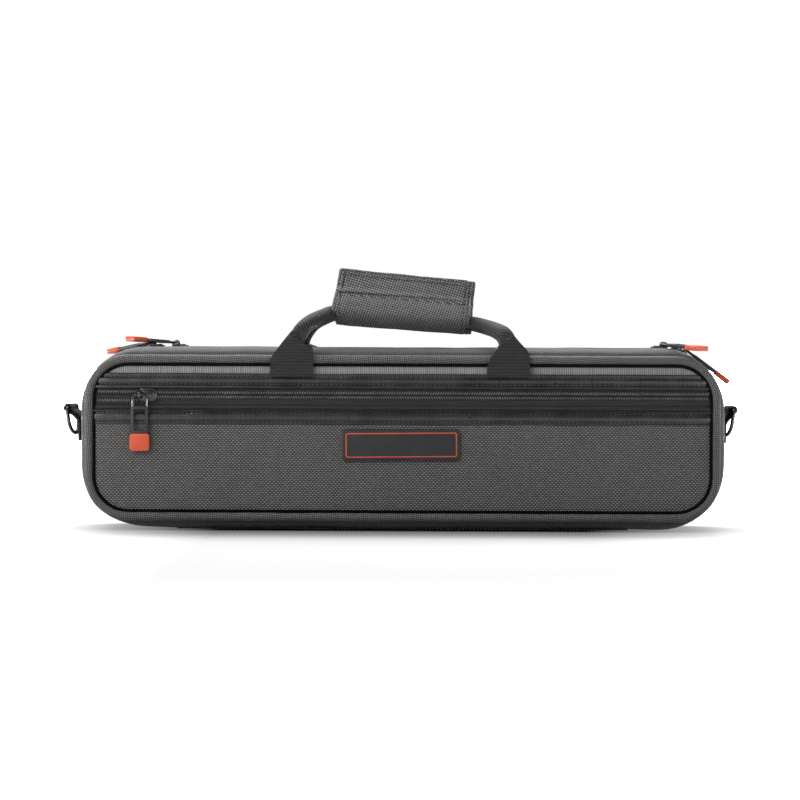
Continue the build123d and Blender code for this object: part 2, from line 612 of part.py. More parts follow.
def build_door():
    """The rear ring of the case, with its flat back."""
    cord = piping(1)
    save("rear_piping", cord)
    save("door_gusset", gusset(1, DOOR_ZIP_Y, cord))
    tape, teeth = zip_rows(DOOR_ZIP_Y, 1)
    save("door_zip_tape", tape)
    save("door_zip_teeth", teeth)
    save("back_panel", slab(RectangleRounded(SEAM_LENGTH, SEAM_HEIGHT, SEAM_RADIUS), PANEL_BACK, PANEL_FRONT))
    inside = RectangleRounded(SEAM_LENGTH - 2 * SEAM_GAP, SEAM_HEIGHT - 2 * SEAM_GAP, SEAM_RADIUS - SEAM_GAP)
    board_front = PANEL_BACK - BOARD
    save("back_board", slab(inside, board_front, PANEL_BACK))
    fold = DOOR_ZIP_Y + TAPE_SHOWN
    wall = crest_ring(fold + HEM, BOARD_FRONT, -FOAM_WALL, -FOAM_WALL - BACK_WALL)
    foot = slab(inside, BOARD_FRONT, board_front) - slab(crest(-FOAM_WALL - BACK_WALL), 0, PANEL_FRONT)
    save("back_lining", wall + foot)
    zip_edge = DOOR_ZIP_Y + ZIP_GAP / 2
    save("door_hinge_leaf", hinge_strip(zip_edge, SHOULDER_START, [zip_edge], [fold]))


def build_handle():
    """Both straps and both halves of the padded wrap."""
    for side, name, tape_name in ((-1, "front", "grip_hook_tape"), (1, "rear", "grip_loop_tape")):
        save(f"handle_strap_{name}", strap(side))
        save(f"grip_wrap_{name}", grip_wrap(side))
        save(tape_name, touch_tape(side))


def build_fittings():
    """Five sliders, each with its pull and tip."""
    teeth_lift = TEETH_OUTER + POCKET_TEETH_TOP
    pocket_x = POCKET_SLIDER_INSET - SEAM_LENGTH / 2
    pocket = Pos(pocket_x, -PANEL_FRONT - teeth_lift, POCKET_ZIP_Z) * Rot(90, 0, 0)
    lid_inner = on_top(1, LID_SLIDER_INSET, LID_ZIP_Y)
    lid_outer = on_corner(1, LID_CORNER_ANGLE, LID_ZIP_Y)
    door_inner = on_top(-1, DOOR_INNER_INSET, DOOR_ZIP_Y)
    door_outer = on_top(-1, DOOR_OUTER_INSET, DOOR_ZIP_Y)
    zip_fitting("pocket", pocket, -POCKET_EYE_OFFSET, POCKET_PULL_TURN, POCKET_PULL_TIP)
    zip_fitting("lid_inner", lid_inner, EYE_OFFSET, LID_INNER_TURN, LID_INNER_TIP)
    zip_fitting("lid_outer", lid_outer, EYE_OFFSET, LID_OUTER_TURN, LID_OUTER_TIP)
    zip_fitting("door_inner", door_inner, -EYE_OFFSET, DOOR_INNER_TURN, DOOR_INNER_TIP)
    zip_fitting("door_outer", door_outer, -EYE_OFFSET, DOOR_OUTER_TURN, DOOR_OUTER_TIP)


build_front()
build_badge()
build_lid()
build_core()
build_door()
build_handle()
build_fittings()
save("d_ring_left", d_ring(-1))
save("d_ring_right", d_ring(1))
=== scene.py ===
# %% [markdown]
# # Dressing a soft flute case
#
# The case is already packed as a set of plain solids that move on their joints. This notebook loads
# them as a fixed frame, and then makes the cloth, zippers, webbing and padding that cover them. Each
# piece is made by hand: a primitive is added where it belongs, shaped in edit mode, and finished with
# modifiers. Sizes are in millimetres and are turned into metres by `mm`.

# %% Load the frame
from math import cos, exp, pi, radians, sin

import bmesh
import bpy
import numpy as np
from mathutils import Matrix, Vector, noise


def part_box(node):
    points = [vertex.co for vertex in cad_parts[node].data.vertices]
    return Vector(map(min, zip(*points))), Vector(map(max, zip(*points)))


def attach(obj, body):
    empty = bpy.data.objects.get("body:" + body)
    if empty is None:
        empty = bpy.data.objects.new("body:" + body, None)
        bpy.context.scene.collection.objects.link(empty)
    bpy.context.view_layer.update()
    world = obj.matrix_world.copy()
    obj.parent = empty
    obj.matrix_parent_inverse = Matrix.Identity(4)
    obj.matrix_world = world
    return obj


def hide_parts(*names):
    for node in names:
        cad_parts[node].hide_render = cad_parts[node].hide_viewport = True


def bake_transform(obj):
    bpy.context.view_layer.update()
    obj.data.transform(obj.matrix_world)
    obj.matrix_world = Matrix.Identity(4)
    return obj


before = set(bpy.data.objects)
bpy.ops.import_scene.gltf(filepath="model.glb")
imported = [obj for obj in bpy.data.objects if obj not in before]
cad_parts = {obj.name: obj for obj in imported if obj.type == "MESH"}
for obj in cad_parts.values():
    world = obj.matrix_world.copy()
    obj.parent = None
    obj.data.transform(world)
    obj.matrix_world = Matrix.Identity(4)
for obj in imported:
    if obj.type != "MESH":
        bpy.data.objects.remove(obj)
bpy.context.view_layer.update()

# %% [markdown]
# ## The sizes that everything shares
#
# The case is a rounded box. Its fullest line round the sides is the crest. Each cloth edge and zipper
# follows that line at some depth, so one set of numbers places all of them. The front of the case
# looks along negative Y, so a side of -1 means the front and 1 means the back.

# %% Sizes
CREST = (453.6, 127.0, 45.0)        # length, height and corner radius of the fullest line
PIPING = (439.9, 110.1, 27.75)      # the same for the middle of the piping
SEAM_INNER = (433.4, 103.6, 24.5)   # and for the line where a panel meets its piping
PIPING_RADIUS, PIPING_Y = 3.25, 42.0
MIDDLE_Z, TOP_Z, PANEL_Y = 65.0, 128.5, 44.0
LID_ZIP_Y, DOOR_ZIP_Y = -17.0, 19.0
POCKET_ZIP_Z, SLIDER_X = 95.1, -178.3
COIL_PITCH = 1.7
ZIP_STOP = 391.2                    # distance along the crest where the hinge panel starts
CORNER_STEPS = 12


def mm(*values):
    """Millimetres to metres, for one number or a point."""
    if len(values) == 1:
        return values[0] / 1000
    return tuple(value / 1000 for value in values)


def move(x=0.0, y=0.0, z=0.0):
    """A 4x4 move in millimetres."""
    return Matrix.Translation(mm(x, y, z))


def spin(degrees, axis):
    """A 4x4 turn about an axis."""
    return Matrix.Rotation(radians(degrees), 4, axis)


# %% [markdown]
# ## A small kit for materials
#
# A woven cloth is two sets of threads. All the patterns here are built from sines and rounded numbers
# of two coordinates. A value inside a recipe can be added and multiplied like a plain number, and each
# such step lays out one Math node. The coordinates are millimetres: either Object coordinates, or the
# piece's own UV map where the cloth follows a bent surface.

# %% Laying out nodes


class Value:
    """A number inside a recipe."""

    def __init__(self, recipe, socket):
        self.recipe, self.socket = recipe, socket

    def calc(self, operation, other=0.0, clamp=False):
        made = self.recipe.node("ShaderNodeMath", self, other, operation=operation, use_clamp=clamp)
        return Value(self.recipe, made.outputs[0])

    def __add__(self, other):
        return self.calc("ADD", other)

    def __sub__(self, other):
        return self.calc("SUBTRACT", other)

    def __mul__(self, other):
        return self.calc("MULTIPLY", other)

    def __truediv__(self, other):
        return self.calc("DIVIDE", other)

    def above(self, limit):
        """How far the value is past a limit, or nothing."""
        return (self - limit).calc("MAXIMUM", 0.0)


class Recipe:
    """A material, or the world, while its nodes are laid out."""

    def __init__(self, name, family="materials", shader="Principled BSDF"):
        self.made = getattr(bpy.data, family).new(name)
        self.made.use_nodes = True
        self.tree = self.made.node_tree
        self.shader = self.tree.nodes[shader]

    def feed(self, target, value):
        """Give a socket a plain value, or link it to another."""
        value = getattr(value, "socket", value)
        if isinstance(value, bpy.types.NodeSocket):
            self.tree.links.new(value, target)
        else:
            target.default_value = value

    def node(self, kind, *sources, inputs=None, **settings):
        """Add a node with these settings, and feed its first inputs and its named ones."""
        made = self.tree.nodes.new(kind)
        for key, value in settings.items():
            setattr(made, key, value)
        for target, value in zip(made.inputs, sources):
            self.feed(target, value)
        for name, value in (inputs or {}).items():
            self.feed(made.inputs[name], value)
        return made

    def split(self, vector):
        made = self.node("ShaderNodeSeparateXYZ", vector)
        return [Value(self, socket) for socket in made.outputs]

    def vector(self, *values):
        return self.node("ShaderNodeCombineXYZ", *values).outputs[0]

    def cloth_place(self):
        """Across and along, in millimetres, from the piece's UV map."""
        return self.split(self.node("ShaderNodeUVMap", uv_map="cloth").outputs[0])[:2]

    def solid_place(self):
        """Object coordinates as a vector, in millimetres."""
        source = self.node("ShaderNodeTexCoord").outputs["Object"]
        return self.node("ShaderNodeMapping", source, inputs={"Scale": (1000.0,) * 3}).outputs[0]

    def cloud(self, vector, size, detail=2.0, rough=0.5):
        """Soft noise from 0 to 1, with spots about size millimetres across."""
        made = self.node("ShaderNodeTexNoise", vector,
                         inputs={"Scale": 1.0 / size, "Detail": detail, "Roughness": rough})
        return Value(self, made.outputs["Fac"])

    def ramp(self, value, *stops):
        """Colour ramp between two (place, colour) stops."""
        made = self.node("ShaderNodeValToRGB", value)
        for element, (place, colour) in zip(made.color_ramp.elements, stops):
            element.position = place
            element.color = (*colour, 1)
        return made.outputs[0]

    def blend(self, factor, first, second, how="MIX"):
        """Mix two colours."""
        made = self.node("ShaderNodeMix", factor, data_type="RGBA", blend_type=how)
        for place, value in ((6, first), (7, second)):
            self.feed(made.inputs[place], (*value, 1) if isinstance(value, tuple) else value)
        return made.outputs[2]

    def bump(self, height, distance, **under):
        """Relief up to distance deep, laid over the Normal that is given, if any."""
        made = self.node("ShaderNodeBump",
                         inputs={"Strength": 1.0, "Distance": mm(distance), "Height": height, **under})
        self.feed(self.shader.inputs["Normal"], made.outputs[0])
        return made.outputs[0]

    def finish(self, colour, roughness, **sockets):
        for name, value in {"Base_Color": colour, "Roughness": roughness, **sockets}.items():
            self.feed(self.shader.inputs[name.replace("_", " ")], value)
        return self.made


def shade(level, warm=0.0):
    """A grey as written on screen, 0 to 255, as the linear colour that the shader wants."""
    linear = (level / 255) ** 2.2
    return (linear * (1 + warm), linear, linear * (1 - warm))


# %% [markdown]
# ## Camera and studio
#
# A long lens from two metres away keeps the case nearly flat, with just a little of its top in view.
# The light is a plain soft studio: a pale world, a lamp to the left of the front, a wide one overhead
# and a weak one on each side.

# %% Camera
AIM, DISTANCE = Vector(mm(-1.5, -46.0, 92.0)), 2.147
TURN, RISE, ROLL = radians(1.0), radians(1.0), radians(0.2)
scene = bpy.context.scene
scene.view_settings.view_transform = "Standard"


def set_up(name, data, place, turned):
    """Put a camera or a lamp in its place."""
    made = bpy.data.objects.new(name, data)
    scene.collection.objects.link(made)
    made.location = place
    made.rotation_mode = "QUATERNION"
    made.rotation_quaternion = turned
    return made


lens = bpy.data.cameras.new("camera")
lens.sensor_width, lens.lens = 36, 138
lens.clip_start, lens.clip_end = 0.05, 50
back = Vector((sin(TURN) * cos(RISE), -cos(TURN) * cos(RISE), sin(RISE)))
camera = set_up("camera", lens, AIM + back * DISTANCE,
                (-back).to_track_quat("-Z", "Y") @ Matrix.Rotation(ROLL, 3, "Z").to_quaternion())
scene.camera = camera
print("camera at", [round(x, 3) for x in camera.location])

# %% World and lamps
AMBIENT = 0.34      # the world's light, though the camera sees it as white
sky = Recipe("studio", "worlds", "Background")
scene.world = sky.made
backdrop = sky.node("ShaderNodeBackground")
for shader, strength in ((sky.shader, AMBIENT), (backdrop, 1.0)):
    shader.inputs["Color"].default_value = (1, 1, 1, 1)
    shader.inputs["Strength"].default_value = strength
in_view = sky.node("ShaderNodeLightPath").outputs["Is Camera Ray"]
choose = sky.node("ShaderNodeMixShader", in_view, sky.shader.outputs[0], backdrop.outputs[0])
sky.feed(sky.tree.nodes["World Output"].inputs["Surface"], choose.outputs[0])

for name, place, aim_at, width, depth, power in (
        ("front_left", (-0.9, -1.2, 0.9), (0, 0, 0.06), 0.9, 0.7, 12),
        ("overhead", (-0.15, 0.75, 1.3), (0, -0.05, 0.05), 1.7, 0.9, 30),
        ("left_side", (-1.6, -0.5, 0.5), (0, 0, 0.08), 0.8, 0.8, 5),
        ("right_side", (1.6, -0.5, 0.5), (0, 0, 0.08), 0.8, 0.8, 1.5)):
    lamp = bpy.data.lights.new(name, "AREA")
    lamp.shape = "RECTANGLE"
    lamp.size, lamp.size_y, lamp.energy = width, depth, power
    set_up(name, lamp, place, (Vector(aim_at) - Vector(place)).to_track_quat("-Z", "Y"))

# %% [markdown]
# The floor is white paper. To the camera and in reflections it is bright, and away from the case it glows a
# little, so no lamp has to burn it out. The light that bounces off it sees a darker paper, so the underside of
# the handle stays dark. It still takes the shadow of the case, and close to the case its colour is also
# darkened by ambient occlusion, a painted contact shadow like that of paper under a much wider softbox. Its
# colour rises from left to right, painted to even out the lamps, which light the left more, and beside the ends
# of the case it glows, a painted light that washes out the shadow there. Here sizes are in metres.

# %% Floor
FLOOR_BOUNCE = (0.4, 0.4, 0.4)
FLOOR_LEVEL, FLOOR_PAINTED_SLOPE = 0.75, 0.35       # how white the paper is in the middle, and its painted rise along X, which evens out the lamps' stronger light on the left
FLOOR_DARKEST, FLOOR_WHITEST = 0.6, 0.95
PAINTED_SHADE_REACH = 0.09                        # how far from the case the painted contact shadow reaches
AWAY_FROM, AWAY_GLOW = 0.45, 0.6            # glow that starts this far from the middle of the floor
PAINTED_SIDE_GLOW_FROM, PAINTED_SIDE_GLOW = 0.13, 5.0        # painted light: glow that starts this far to the left and right and washes out the shadow beside the ends of the case
bpy.ops.mesh.primitive_plane_add(size=30, location=(0, 0, -0.0004))
floor = bpy.context.object
floor.name = "floor"
paper = Recipe("white_paper")
ray = paper.node("ShaderNodeLightPath")
direct = Value(paper, ray.outputs["Is Camera Ray"]).calc("MAXIMUM", ray.outputs["Is Glossy Ray"])
spot = paper.node("ShaderNodeTexCoord").outputs["Object"]
along_x = paper.split(spot)[0]
# painted contact shadow: ambient occlusion darkens the paper's colour close to the case
painted_contact_shade = paper.node("ShaderNodeAmbientOcclusion", samples=16, inputs={"Distance": PAINTED_SHADE_REACH})
# painted evening of the light: the paper's colour is darker on the left, where the lamps are stronger, and
# lighter on the right
level = (along_x * FLOOR_PAINTED_SLOPE + FLOOR_LEVEL).calc("MAXIMUM", FLOOR_DARKEST).calc("MINIMUM", FLOOR_WHITEST)
level = level * painted_contact_shade.outputs["AO"]
tone = paper.blend(direct, FLOOR_BOUNCE, paper.vector(level, level, level))
paper.finish(tone, 0.9, Specular_IOR_Level=0.0)
away = Value(paper, paper.node("ShaderNodeVectorMath", spot, operation="LENGTH").outputs["Value"])
# painted light: beyond the ends of the case the paper glows more and more, which washes out the shadow there
beside = along_x.calc("ABSOLUTE").above(PAINTED_SIDE_GLOW_FROM)
glow = paper.node("ShaderNodeEmission",
                  inputs={"Strength": direct * (away.above(AWAY_FROM) * AWAY_GLOW + beside * PAINTED_SIDE_GLOW)})
both = paper.node("ShaderNodeAddShader", paper.shader.outputs[0], glow.outputs[0])
paper.feed(paper.tree.nodes["Material Output"].inputs["Surface"], both.outputs[0])
floor.data.materials.append(paper.made)

# %% [markdown]
# ## The cloths
#
# The body cloth is a coarse nylon of the sort used for luggage. Its thick flat threads catch the light as small
# bright dashes, and these highlights are painted into the colour, lighter on the top of each raised thread.
# Each row of dashes is half a step from the next. The same cloth, cut on the bias, covers the piping, so its
# dashes run aslant there. Each thread differs a little from the next, and the whole cloth has a faint
# cloudiness, or it would look printed.

# %% Woven cloth


def woven(name, across_pitch, row_pitch, dark, light, slant=0.0, depth=0.25, rib=0.0):
    """Cloth with staggered dashes on the cloth map, turned by slant degrees, each raised dash painted lighter
    as a highlight.
    """
    recipe = Recipe(name)
    u, v = recipe.cloth_place()
    if slant:
        c, s = cos(radians(slant)), sin(radians(slant))
        u, v = u * c + v * s, v * c - u * s
    flat = recipe.vector(u, v)
    wander = (recipe.cloud(flat, 9.0) - 0.5) * 0.5
    u, v = u + wander, v + wander
    row = v / row_pitch
    odd = row.calc("FLOOR").calc("ABSOLUTE").calc("MODULO", 2.0) * 0.5
    step = u / across_pitch + odd
    dash, thread = [(part.calc("FRACT") * pi).calc("SINE") for part in (step, row)]
    raised = (dash * thread).calc("POWER", 0.8)
    fine = recipe.cloud(recipe.vector(step.calc("FLOOR"), row.calc("FLOOR")), 0.7, 0.0)
    # painted highlight: the colour goes from dark to light on the top of each raised thread
    bright = raised.calc("POWER", 1.6).calc("MULTIPLY", fine * 0.7 + 0.62, clamp=True)
    cloudy = recipe.ramp(recipe.cloud(flat, 45.0, 3.0) * 0.5 + 0.75, (0.0, (0.0,) * 3), (1.0, (1.0,) * 3))
    tone = recipe.blend(1.0, recipe.blend(bright, dark, light), cloudy, "MULTIPLY")
    recipe.bump(raised + (u * (2 * pi / rib)).calc("SINE") * 0.3 if rib else raised, depth)
    return recipe.finish(tone, 0.62, Sheen_Weight=0.15, Sheen_Roughness=0.5, Specular_IOR_Level=0.35)


# the second colour of each cloth is its painted highlight on the raised threads
body_cloth = woven("body_cloth", 2.6, 1.3, shade(24, 0.02), shade(144, 0.02))
gusset_cloth = woven("gusset_cloth", 1.7, 1.3, shade(28, 0.015), shade(126, 0.015), rib=1.7)
strip_cloth = woven("strip_cloth", 1.3, 9.8, shade(74, 0.015), shade(166, 0.015), rib=1.3, depth=0.15)
piping_cloth = woven("piping_cloth", 2.1, 1.05, shade(28, 0.015), shade(146, 0.015), slant=40)
grip_cloth = woven("grip_cloth", 2.5, 1.25, shade(30, 0.01), shade(168, 0.01), slant=32)

# %% [markdown]
# Webbing is woven much tighter, with fine ribs across the strap, and the top of each rib is painted lighter as
# a highlight. The zipper tape is a fine herringbone that is nearly black, painted lighter on its ribs in the
# same way. The plush inside is a short pile: no threads show, only a soft sheen, and its colour varies in fine
# hairs and in broad darker patches, which are painted sheen of pile that leans the other way.

# %% Webbing, tape and plush


def ribbed(name, rib, twill, dark, light, depth):
    """Webbing or tape: ribs along the cloth map's second direction, with a fine slanted twill on them, their
    tops painted lighter as a highlight.
    """
    recipe = Recipe(name)
    u, v = recipe.cloth_place()
    wave = (v * (2 * pi / rib)).calc("SINE")
    cross = ((u / twill + v / (rib * 0.9)) * (2 * pi)).calc("SINE")
    height = (wave * 0.34 + cross * 0.16).calc("ADD", 0.5, clamp=True)
    patch = recipe.ramp(recipe.cloud(recipe.vector(u, v), 14.0, 3.0), (0.2, shade(190)), (0.8, shade(255)))
    recipe.bump(height, depth)
    # painted highlight: the colour is lighter where the ribs stand highest
    tone = recipe.blend(1.0, recipe.blend(height.calc("POWER", 1.8), dark, light), patch, "MULTIPLY")
    return recipe.finish(tone, 0.6, Sheen_Weight=0.1, Specular_IOR_Level=0.3)


webbing_cloth = ribbed("webbing_cloth", 2.2, 1.4, shade(3), shade(62), 0.4)
tape_cloth = ribbed("tape_cloth", 1.3, 1.7, shade(14, 0.04), shade(64, 0.04), 0.15)


def pile(name, dark, light, grain, sheen):
    """Short plush pile on Object coordinates, with painted sheen in broad darker patches."""
    recipe = Recipe(name)
    where = recipe.solid_place()
    hairs = recipe.cloud(where, grain, 3.0, 0.7)
    recipe.bump(hairs, 0.35)
    # the fine hairs vary the pile's own tone; the broad patches are painted sheen of pile that leans another
    # way
    tone = recipe.ramp(hairs * 0.55 + recipe.cloud(where, 22.0, 3.0) * 0.5, (0.25, dark), (0.8, light))
    return recipe.finish(tone, 0.95, Sheen_Weight=sheen, Sheen_Roughness=0.4, Specular_IOR_Level=0.1)


plush = pile("plush_pile", shade(26), shade(78), 0.6, 0.5)
loop_pile = pile("touch_loops", shade(16), shade(58), 0.35, 0.2)

# %% [markdown]
# The two bands on the front are coated cloth that looks like leather: nearly black, satin, with a fine
# pebble grain and slow waves that break up the highlight. Rubber, moulded plastic and enamelled metal
# are told apart by how rough they are and by how sharp their edges shine.

# %% Leather-look, rubber, plastic and metal


def smooth_finish(name, dark, light, rough_low, rough_high, grain, depth, wave=0.0, coat=0.0, specular=0.5):
    """Solid-colour material with a grain, cloudy colour and uneven gloss."""
    recipe = Recipe(name)
    where = recipe.solid_place()
    cells = recipe.node("ShaderNodeTexVoronoi", where, feature="SMOOTH_F1",
                        inputs={"Scale": 1.0 / grain, "Smoothness": 0.6})
    fine = recipe.bump(cells.outputs["Distance"], depth)
    if wave:
        recipe.bump(recipe.cloud(where, 11.0, 1.0), wave, Normal=fine)
    gloss = recipe.cloud(where, 5.0, 3.0) * (rough_high - rough_low) + rough_low
    tone = recipe.ramp(recipe.cloud(where, 16.0, 4.0), (0.3, dark), (0.75, light))
    return recipe.finish(tone, gloss, Coat_Weight=coat, Specular_IOR_Level=specular)


ORANGE = (0.75, 0.100, 0.040), (0.83, 0.125, 0.053)
leather_look = smooth_finish("leather_look", shade(28, 0.03), shade(54, 0.03), 0.22, 0.38, 0.7, 0.05, wave=0.7)
badge_rubber = smooth_finish("badge_rubber", shade(18), shade(30), 0.5, 0.7, 0.35, 0.02)
orange_rubber = smooth_finish("orange_rubber", *ORANGE, 0.42, 0.55, 0.4, 0.012)
pull_rubber = smooth_finish("pull_rubber", shade(18), shade(32), 0.38, 0.55, 0.4, 0.015)
black_enamel = smooth_finish("black_enamel", shade(22), shade(36), 0.2, 0.36, 2.0, 0.01, coat=0.3)
coil_plastic = smooth_finish("coil_plastic", shade(78), shade(124), 0.22, 0.36, 0.5, 0.01)
stiff_board = smooth_finish("stiff_board", shade(46), shade(66), 0.7, 0.85, 1.2, 0.06)
thread_cotton = smooth_finish("thread", shade(66), shade(104), 0.5, 0.65, 0.3, 0.03)
dark_thread = smooth_finish("dark_thread", shade(8), shade(22), 0.5, 0.7, 0.3, 0.03)
# near-black colour for the painted shadow in each seam
seam_shadow_paint = smooth_finish("seam_shadow_paint", shade(3), shade(8), 0.8, 0.95, 0.4, 0.02, specular=0.1)
print("materials", len(bpy.data.materials))

# %% [markdown]
# ## Working by hand, in code
#
# Every piece below goes through the same motions as at the screen. Nothing is selected, a piece is made
# active, and edit mode starts with nothing picked. Vertices, edges or faces are then picked by where
# they are, and an operator acts on them. These few helpers do the picking and the tidying up.

# %% Picking and finishing


def lay_aside():
    """Leave edit mode and drop the selection."""
    if bpy.context.object and bpy.context.object.mode == "EDIT":
        bpy.ops.object.mode_set(mode="OBJECT")
    bpy.ops.object.select_all(action="DESELECT")


def set_all(target, settings):
    for key, value in settings.items():
        setattr(target, key, value)


def take(*pieces):
    """Select these pieces, the first one active."""
    lay_aside()
    for piece in pieces:
        piece.select_set(True)
    bpy.context.view_layer.objects.active = pieces[0]


def edit(piece):
    take(piece)
    bpy.ops.object.mode_set(mode="EDIT")
    bpy.ops.mesh.select_all(action="DESELECT")


def on_all(operator, **settings):
    """In edit mode, select everything and use one operator on it."""
    bpy.ops.mesh.select_all(action="SELECT")
    operator(**settings)


def pick(piece, kind, wanted):
    """In edit mode, pick the vertices, edges or faces whose middle (and normal, for faces) is wanted."""
    bpy.ops.mesh.select_mode(type=kind)
    bpy.ops.mesh.select_all(action="DESELECT")
    mesh = bmesh.from_edit_mesh(piece.data)
    if kind == "EDGE":
        for edge in mesh.edges:
            edge.select_set(bool(wanted(edge.verts[0].co, edge.verts[1].co)))
    else:
        for face in mesh.faces:
            face.select_set(bool(wanted(face.calc_center_median(), face.normal)))
    bmesh.update_edit_mesh(piece.data)


def primitive(name, add, **settings):
    """Add one of the ready-made shapes, and name it."""
    lay_aside()
    add(**settings)
    piece = bpy.context.object
    piece.name = name
    return piece


def resize(piece, *scale):
    """Stretch a piece, and put its place and size into its mesh."""
    piece.scale = scale
    take(piece)
    bpy.ops.object.transform_apply(location=True, rotation=True, scale=True)
    return piece


def put(piece, place):
    """Move a piece's mesh to its place."""
    piece.data.transform(place)
    piece.data.update()
    return piece


def apply_modifier(piece, kind, **settings):
    take(piece)
    modifier = piece.modifiers.new(kind.lower(), kind)
    set_all(modifier, settings)
    bpy.ops.object.modifier_apply(modifier=modifier.name)


def thicken(piece, thickness, offset=-1.0):
    apply_modifier(piece, "SOLIDIFY", thickness=mm(thickness), offset=offset)


def flip_if(piece, wrong):
    """Turn all faces over when they look the wrong way."""
    if wrong:
        piece.data.flip_normals()
        piece.data.update()


def weld(piece, distance=0.02):
    """Merge doubles, then turn all faces outwards."""
    edit(piece)
    on_all(bpy.ops.mesh.remove_doubles, threshold=mm(distance))
    bpy.ops.mesh.normals_make_consistent(inside=False)
    lay_aside()


def wire(piece, radius, resolution, caps=False):
    """Turn a piece that is one line of edges into a round wire."""
    take(piece)
    bpy.ops.object.convert(target="CURVE")
    section = dict(bevel_depth=mm(radius), bevel_resolution=resolution, use_fill_caps=caps)
    set_all(bpy.context.object.data, section)
    bpy.ops.object.convert(target="MESH")
    return bpy.context.object


def joined(name, parts):
    take(*parts)
    bpy.ops.object.join()
    piece = bpy.context.object
    piece.name = name
    return piece


def dress(piece, material, body, slot, *nodes, smooth=40):
    """Give a finished piece its material, its body and the solids that it stands for."""
    piece.data.materials.clear()
    piece.data.materials.append(material)
    take(piece)
    bpy.ops.object.shade_smooth_by_angle(angle=radians(smooth))
    lay_aside()
    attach(piece, body)
    if nodes:
        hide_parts(*nodes)
    print(f"{piece.name}: {len(piece.data.polygons)} faces")
    return piece


def corners_of(piece):
    """The piece's vertices in millimetres."""
    flat = np.zeros(len(piece.data.vertices) * 3)
    piece.data.vertices.foreach_get("co", flat)
    return flat.reshape(-1, 3) * 1000


def put_corners(piece, points):
    piece.data.vertices.foreach_set("co", (points / 1000).ravel())
    piece.data.update()


def push(piece, amounts):
    """Move each vertex along its normal by its own amount, in millimetres."""
    normals = np.zeros(len(piece.data.vertices) * 3)
    piece.data.vertex_normals.foreach_get("vector", normals)
    put_corners(piece, corners_of(piece) + normals.reshape(-1, 3) * np.array(amounts)[:, None])


def ruffle(piece, amount, size, seed, only=None):
    """Push vertices in and out by soft noise, as cloth that isn't quite flat."""
    shift = Vector((seed * 17.3, seed * 5.1, seed * 9.7))
    push(piece, [amount * noise.noise(Vector(at) / size + shift) if only is None or only(Vector(at)) else 0.0
                 for at in corners_of(piece)])


# %% [markdown]
# A cloth pattern has to run along the seams, so each bent piece gets a UV map in millimetres called
# cloth. Its first number is the distance round the case from the middle of the top, and its second is
# the distance across: depth along Y, and then inwards from the crest.

# %% The cloth map


def run_round(x, z, outline):
    """Distance along a rounded outline from the middle of its top, for points at (x, z) beside it."""
    length, height, radius = outline
    flat_x, flat_z = length / 2 - radius, height / 2 - radius
    quarter = radius * pi / 2
    x, z = np.abs(x), z - MIDDLE_Z
    past_x = np.maximum(x - flat_x, 0)
    side = flat_x + quarter + flat_z - z
    upper = np.where(z > flat_z, flat_x + radius * np.arctan2(past_x, np.maximum(z - flat_z, 1e-6)), side)
    corner = flat_x + quarter + 2 * flat_z + radius * np.arctan2(np.maximum(-z - flat_z, 0), past_x + 1e-6)
    lower = np.where(z < -flat_z, corner, side)
    on_flat = np.where(z > 0, x, 2 * (flat_x + quarter + flat_z) - x)
    return np.where(past_x > 1e-4, np.where(z > 0, upper, lower), on_flat)


def inside_by(x, z, outline):
    """How far inside a rounded outline a point is."""
    length, height, radius = outline
    qx = np.abs(x) - (length / 2 - radius)
    qz = np.abs(z - MIDDLE_Z) - (height / 2 - radius)
    return radius - np.hypot(np.maximum(qx, 0), np.maximum(qz, 0)) - np.minimum(np.maximum(qx, qz), 0)


def map_cloth(piece, across_of, along_of):
    """Write the cloth map, in millimetres. Each side of it is one number for each vertex, or a function
    of the vertices' places and of the x of each one's face."""
    mesh = piece.data
    corner = np.zeros(len(mesh.loops), int)
    mesh.loops.foreach_get("vertex_index", corner)
    face_x = np.zeros(len(mesh.loops))
    for face in mesh.polygons:
        face_x[face.loop_start:face.loop_start + face.loop_total] = face.center.x * 1000
    while mesh.uv_layers:
        mesh.uv_layers.remove(mesh.uv_layers[0])
    layer = mesh.uv_layers.new(name="cloth")
    at = corners_of(piece)[corner]
    both = [of[corner] if isinstance(of, np.ndarray) else of(at, face_x) for of in (across_of, along_of)]
    layer.data.foreach_set("uv", np.stack(both, axis=1).astype(np.float32).ravel())


def map_round_case(piece):
    map_cloth(piece, lambda at, side: np.sign(side) * run_round(at[:, 0], at[:, 2], CREST),
              lambda at, side: np.abs(at[:, 1]) + inside_by(at[:, 0], at[:, 2], CREST))


def map_flat(piece, along=2):
    map_cloth(piece, lambda at, side: at[:, 0], lambda at, side: at[:, along])


# %% [markdown]
# ## The gussets
#
# A gusset is the long strip that goes round the case. The front and rear ones start as a straight hem
# at the zipper, and then roll in over foam to the piping. They could be a profile spun round each
# corner, but the corner of the piping is tighter than the crest's. So a few rounded outlines are drawn
# at their own depths, each a plane with bevelled corners, and bridged. Solidify gives the cloth its
# thickness afterwards, once the outside is right.

# %% Outlines bridged into sleeves


def draw_outline(length, height, radius, y, keep=False):
    """In edit mode, add one rounded outline at depth y, as a face or as a line."""
    bpy.ops.mesh.select_mode(type="VERT")
    bpy.ops.mesh.select_all(action="DESELECT")
    middle = mm(0, y, MIDDLE_Z)
    bpy.ops.mesh.primitive_plane_add(size=1, location=middle, rotation=(pi / 2, 0, 0))
    bpy.ops.transform.resize(value=(mm(length), 1, mm(height)), center_override=middle)
    bpy.ops.mesh.bevel(offset=mm(radius), segments=CORNER_STEPS, affect="VERTICES", profile=0.5)
    if not keep:
        bpy.ops.mesh.delete(type="ONLY_FACE")


